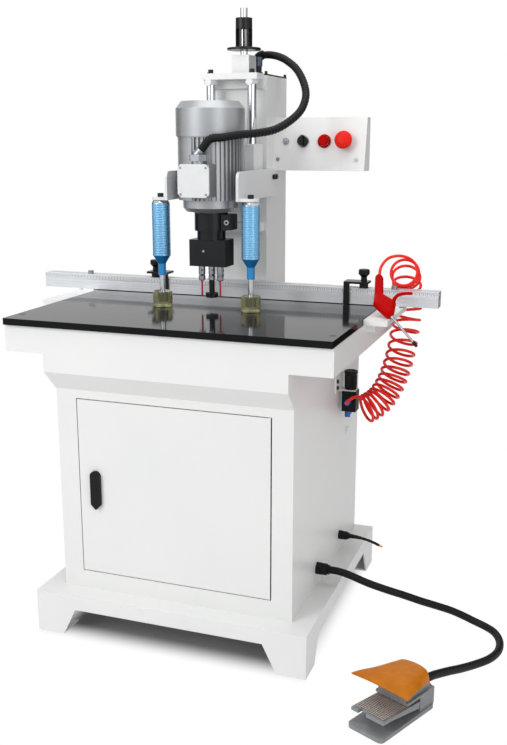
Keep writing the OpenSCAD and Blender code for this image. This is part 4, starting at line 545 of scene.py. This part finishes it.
# Hood: across it x = u w and height = edge + rise (1 - |u| ** power). Half width w, edge, rise and power change
# along it, and its back bulges by 15 mm (1 - u ** 2)
HOOD_FRONT, HOOD_LENGTH, BULGE = 52, 126, 15
v = np.linspace(0, 1, 17)[:, None]
u = np.linspace(-1, 1, 33)[None, :]
half, edge, rise = 80 - 31 * v, 100 - 25 * v ** 1.8, 3 + 20 * v ** 1.4
length = HOOD_FRONT + HOOD_LENGTH * v + BULGE * v ** 2 * (1 - u ** 2)
skin = np.stack([u * half, length, edge + rise * (1 - np.abs(u) ** (2 + 7 * v))], -1)
hood = np.concatenate([skin, skin[:, ::-1] * (0.97, 1, 1) - (0, 0, 3)], 1)
# Its back wall stands over the valve block
sill = skin[-1] * (0.985, 1, 1)
sill[:, 2] = np.where(np.abs(sill[:, 0]) < 38.6, 86.3, 73)
wall = np.stack([skin[-1], sill, sill - (0, 2.5, 0), skin[-1] - (0, 2.5, 0)], 1)
post = np.stack([np.array([[-15, 120, z], [15, 120, z], [15, 170, z], [-15, 170, z]]) for z in (86.0, 96.0)])
piece("pedal_hood_shell", [on_pedal(*np.moveaxis(g, -1, 0)) * MM for g in (hood, wall, post)], "frame",
      "orange_plastic", ["pedal_hood"])

rule = raised(round_box(1180, 12, 1), [(0, 0), (0.3, 0), (0.35, 0.1)], (-11, 127.48, 884.5), (1, 0, 0),
              (0, 0, 1))
piece("fence_rule", [rule], "frame", "fence_aluminium", material=rule_tape)

# Rings round the knobs of the control box, and a small lock beside them
LEAN = math.atan2(28, 143)
PANEL_Y, PANEL_Z = 237.47, 1279
OUT = (0, -math.cos(LEAN), math.sin(LEAN))


def on_panel(x, profile, name, slot, material=None):
    """A turned piece that stands on the sloped front of the control box."""
    piece(name, [turned(profile, (x, PANEL_Y, PANEL_Z), OUT)], "frame", slot, material=material)


def ring(inner, outer, height):
    """Section of a flat ring with a softened outer edge, closed on itself."""
    return [(inner, 0), (outer, 0), (outer, height - 1), (outer - 1, height), (inner, height), (inner, 0)]


on_panel(171.5, ring(14.8, 17.5, 2.5), "selector_ring", "black_plastic", zinc_steel)
on_panel(232.5, ring(14.1, 18.5, 5), "push_ring", "red_plastic")
# The black collar round the emergency stop also stands in for the ring of shade round the stop: partly painted
# shade
on_panel(291.5, ring(13.6, 18, 5.5), "estop_collar_and_shade", "black_plastic")
on_panel(122, [(9, 0), (9, 3), (8, 4), (4, 4), (3.5, 6), (0.5, 6)], "panel_lock", "light_metal", zinc_steel)

# Screws and small fittings
SCREW = [(3, 0), (3, 1), (2.4, 1.6), (1.3, 1.6), (1.3, 0.6), (0.2, 0.6)]
piece("terminal_screws", [turned(SCREW, (5 + sx * 34, -150, 1184 + sz * 32.5), (0, -1, 0), 20)
                          for sx in (-1, 1) for sz in (-1, 1)], "head", "light_metal", material=zinc_steel)
piece("ring_ear_bolt", [turned([(7.5, 0), (7.5, 5.5), (6.5, 6.5), (3.5, 6.5), (3.5, 3), (0.2, 3)],
                               (54, -44, 1075), (0, -1, 0), 28)], "head", "light_metal", material=zinc_steel)
piece("housing_plug", [turned([(3.5, 0), (3.5, 0.6), (3, 1), (0.2, 1)], (-11, -51, 999), (0, -1, 0), 20)],
      "head", "light_metal", material=zinc_steel)
CLAMP_X, CLAMP_Y = 125.5, -62
for side, body in ((-1, "clamp_left"), (1, "clamp_right")):
    piece(body + ".pad_core", [turned([(0.2, 862), (9, 862), (10, 863), (10, 890), (0.2, 890)],
                                      (side * CLAMP_X, CLAMP_Y, 0))], body, "dark_steel")
nozzle_way = unit(np.array([79, -36, -71.0]))
piece("nozzle_tip", [turned([(3.1, -14), (4.2, -13), (3.8, 0), (2.6, 1.5), (0.3, 1.5)], (562, -70, 790),
                            nozzle_way, 20)], "frame", "black_plastic")
# Two grub screws in each chuck, turned to a side of its own
CHUCK_RADIUS = 9
GRUB = [(2.7, -1), (2.7, 0.5), (2.3, 0.9), (1.3, 0.9), (1.3, -0.4), (0.2, -0.4)]
for body, x, y, turn in (("spindle_left", -26, -25.5, -67), ("spindle_centre", 0, -20, -52),
                         ("spindle_right", 26, -25.5, 15)):
    out = np.array([math.cos(math.radians(turn)), math.sin(math.radians(turn)), 0])
    screws = [turned(GRUB, np.array([x, y, z]) + CHUCK_RADIUS * out, out, 16) for z in (934, 947)]
    piece(body + ".grub_screws", screws, body, "dark_steel", material=black_oxide)
# Ribbed skirt and flared cap round the regulator's knob
KNOB_TOP = (350, 130, 662.5)
a = np.linspace(0, 2 * np.pi, 96, endpoint=False)
ribbed = np.stack([np.cos(a), np.sin(a)], 1) * (16.3 + 0.8 * np.cos(24 * a))[:, None]
CAP = [(15, -8), (16, -8), (18.4, -4), (18.4, 2), (17.4, 3), (12, 3), (11, 1), (0.3, 1)]
skirt = raised(ribbed, [(-44, 1), (-43, 0), (-9, 0), (-8, 0.8)], KNOB_TOP, (1, 0, 0), (0, 1, 0))
piece("regulator_grip", [skirt, turned(CAP, KNOB_TOP)], "pressure_knob", "black_plastic")
# Small lock on the right side of the cabinet, over a drop-shaped plate
drop = round_box(20, 20, 9.9)
drop[drop[:, 1] < -7, 1] -= 9
piece("side_lock", [raised(drop, [(0, 0), (1.5, 0), (2, 0.6)], (320, 215, 468), (0, 1, 0), (0, 0, 1)),
                    turned([(7, 1.5), (7, 4.5), (6, 5.5), (0.3, 5.5)], (320, 215, 469), (1, 0, 0), 24)],
      "frame", "light_metal")
# Ribbed sleeve that lets the mains lead bend where it leaves its gland, and the lead's three bare ends
relief = curve(MAINS, np.linspace(0, 2.2, 34))
relief_radius = (np.linspace(7.5, 4.8, 34) - 0.5 * (np.arange(34) % 4 > 1)) * MM
piece("mains_relief", [tube(relief, relief_radius, 18)], "frame", "black_plastic")
end, way = MAINS[-1], unit(MAINS[-1] - MAINS[-2])
spread = np.array([[0, 1.5, 1], [0, -1.5, 1], [0, 0, -1.6]]) * MM
strand = np.outer(np.linspace(-2, 11, 6) * MM, way)
piece("mains_strands", [tube(end + s + strand, 1.1 * MM, 8) for s in spread], "frame", "steel_bolts",
      material=copper)


# Floor, light and background


def seen(tree):
    """1 for what the camera, a mirror or glass shows, and 0 for the light that falls on the object."""
    rays = add(tree, "ShaderNodeLightPath").outputs
    pair = add(tree, "ShaderNodeMath", {"operation": "MAXIMUM"},
               {0: rays["Is Camera Ray"], 1: rays["Is Glossy Ray"]})
    return add(tree, "ShaderNodeMath", {"operation": "MAXIMUM"},
               {0: pair.outputs[0], 1: rays["Is Transmission Ray"]}).outputs[0]


world = bpy.data.worlds.new("studio")
bpy.context.scene.world = world
world.use_nodes = True
sky = world.node_tree
ground_light = sky.nodes["Background"]
ground_light.inputs["Color"].default_value = linear("#F4F5F7")
ground_light.inputs["Strength"].default_value = 0.47
white = add(sky, "ShaderNodeBackground", {"Color": linear("#FFFFFF"), "Strength": 1.0})
mixed = add(sky, "ShaderNodeMixShader", links={0: seen(sky), 1: ground_light.outputs[0], 2: white.outputs[0]})
sky.links.new(sky.nodes["World Output"].inputs["Surface"], mixed.outputs[0])

floor_mesh = bpy.data.meshes.new("floor")
floor_mesh.from_pydata([(-40, -40, 0), (40, -40, 0), (40, 40, 0), (-40, 40, 0)], [], [(0, 1, 2, 3)])
floor = bpy.data.objects.new("floor", floor_mesh)
bpy.context.scene.collection.objects.link(floor)
pale = bpy.data.materials.new("pale_floor")
pale.use_nodes = True
tree = pale.node_tree
base = tree.nodes["Principled BSDF"]
base.inputs["Base Color"].default_value = linear("#E8E8E8")
base.inputs["Roughness"].default_value = 0.8
glow = add(tree, "ShaderNodeEmission", {"Color": linear("#FFFFFF"), "Strength": 1.0})
on_floor = add(tree, "ShaderNodeTexCoord").outputs["Object"]
from_middle = add(tree, "ShaderNodeVectorMath", {"operation": "ABSOLUTE"}, {0: on_floor})
sides = add(tree, "ShaderNodeSeparateXYZ", links={0: from_middle.outputs["Vector"]}).outputs
reach = add(tree, "ShaderNodeMath", {"operation": "MAXIMUM"}, {0: sides["X"], 1: sides["Y"]})
SHADE_FROM, SHADE_TO = 0.29, 0.385
fade = add(tree, "ShaderNodeMapRange",
           {"interpolation_type": "SMOOTHSTEP", "From Min": SHADE_FROM, "From Max": SHADE_TO, "To Min": 0.0,
            "To Max": 1.0}, {"Value": reach.outputs[0]})
# Under the plinth the floor is painted a darker grey, a painted shadow that deepens the shade there, and round
# it fades to the white of the background
painted_shadow = add(tree, "ShaderNodeBsdfDiffuse", {"Color": linear("#8C8C8C")})
lit = add(tree, "ShaderNodeMixShader",
          links={0: fade.outputs["Result"], 1: painted_shadow.outputs[0], 2: glow.outputs[0]})
both = add(tree, "ShaderNodeMixShader", links={0: seen(tree), 1: base.outputs[0], 2: lit.outputs[0]})
tree.links.new(tree.nodes["Material Output"].inputs["Surface"], both.outputs[0])
floor_mesh.materials.append(pale)


def lamp(name, place, target, width, height, watts):
    """A soft rectangular lamp that faces a point."""
    data = bpy.data.lights.new(name, "AREA")
    data.shape = "RECTANGLE"
    data.size, data.size_y, data.energy = width, height, watts
    made = bpy.data.objects.new(name, data)
    made.location = place
    heading = np.subtract(target, place)
    made.rotation_euler = (math.atan2(np.hypot(heading[0], heading[1]), -heading[2]), 0,
                           math.atan2(heading[1], heading[0]) - math.pi / 2)
    bpy.context.scene.collection.objects.link(made)


lamp("key", (-1.9, -3.2, 2.6), (0, 0, 0.8), 2.2, 2.2, 75)
lamp("fill", (2.6, -2.2, 1.6), (0, 0, 0.8), 1.6, 1.6, 20)
lamp("top", (0.2, -0.4, 3.6), (0, 0, 0.8), 2.4, 2.4, 40)


def card(name, place, width, height):
    """A dark card that only mirrors show: it draws dark edges along chrome rods, as in a photo studio."""
    across = unit(np.array([-place[1], place[0], 0.0])) * width / 2
    up = np.array([0, 0, height / 2])
    mesh = bpy.data.meshes.new(name)
    corners = np.array([-across - up, across - up, across + up, up - across])
    mesh.from_pydata(np.array(place) + corners, [], [(0, 1, 2, 3)])
    mesh.materials.append(black_rubber)
    made = bpy.data.objects.new(name, mesh)
    bpy.context.scene.collection.objects.link(made)
    made.visible_camera = made.visible_diffuse = made.visible_transmission = made.visible_shadow = False


card("right_card", (1.45, 2.05, 1.1), 2.0, 2.2)
card("left_card", (-2.4, 0.66, 1.1), 1.5, 2.2)
bpy.context.scene.view_settings.view_transform = "Standard"
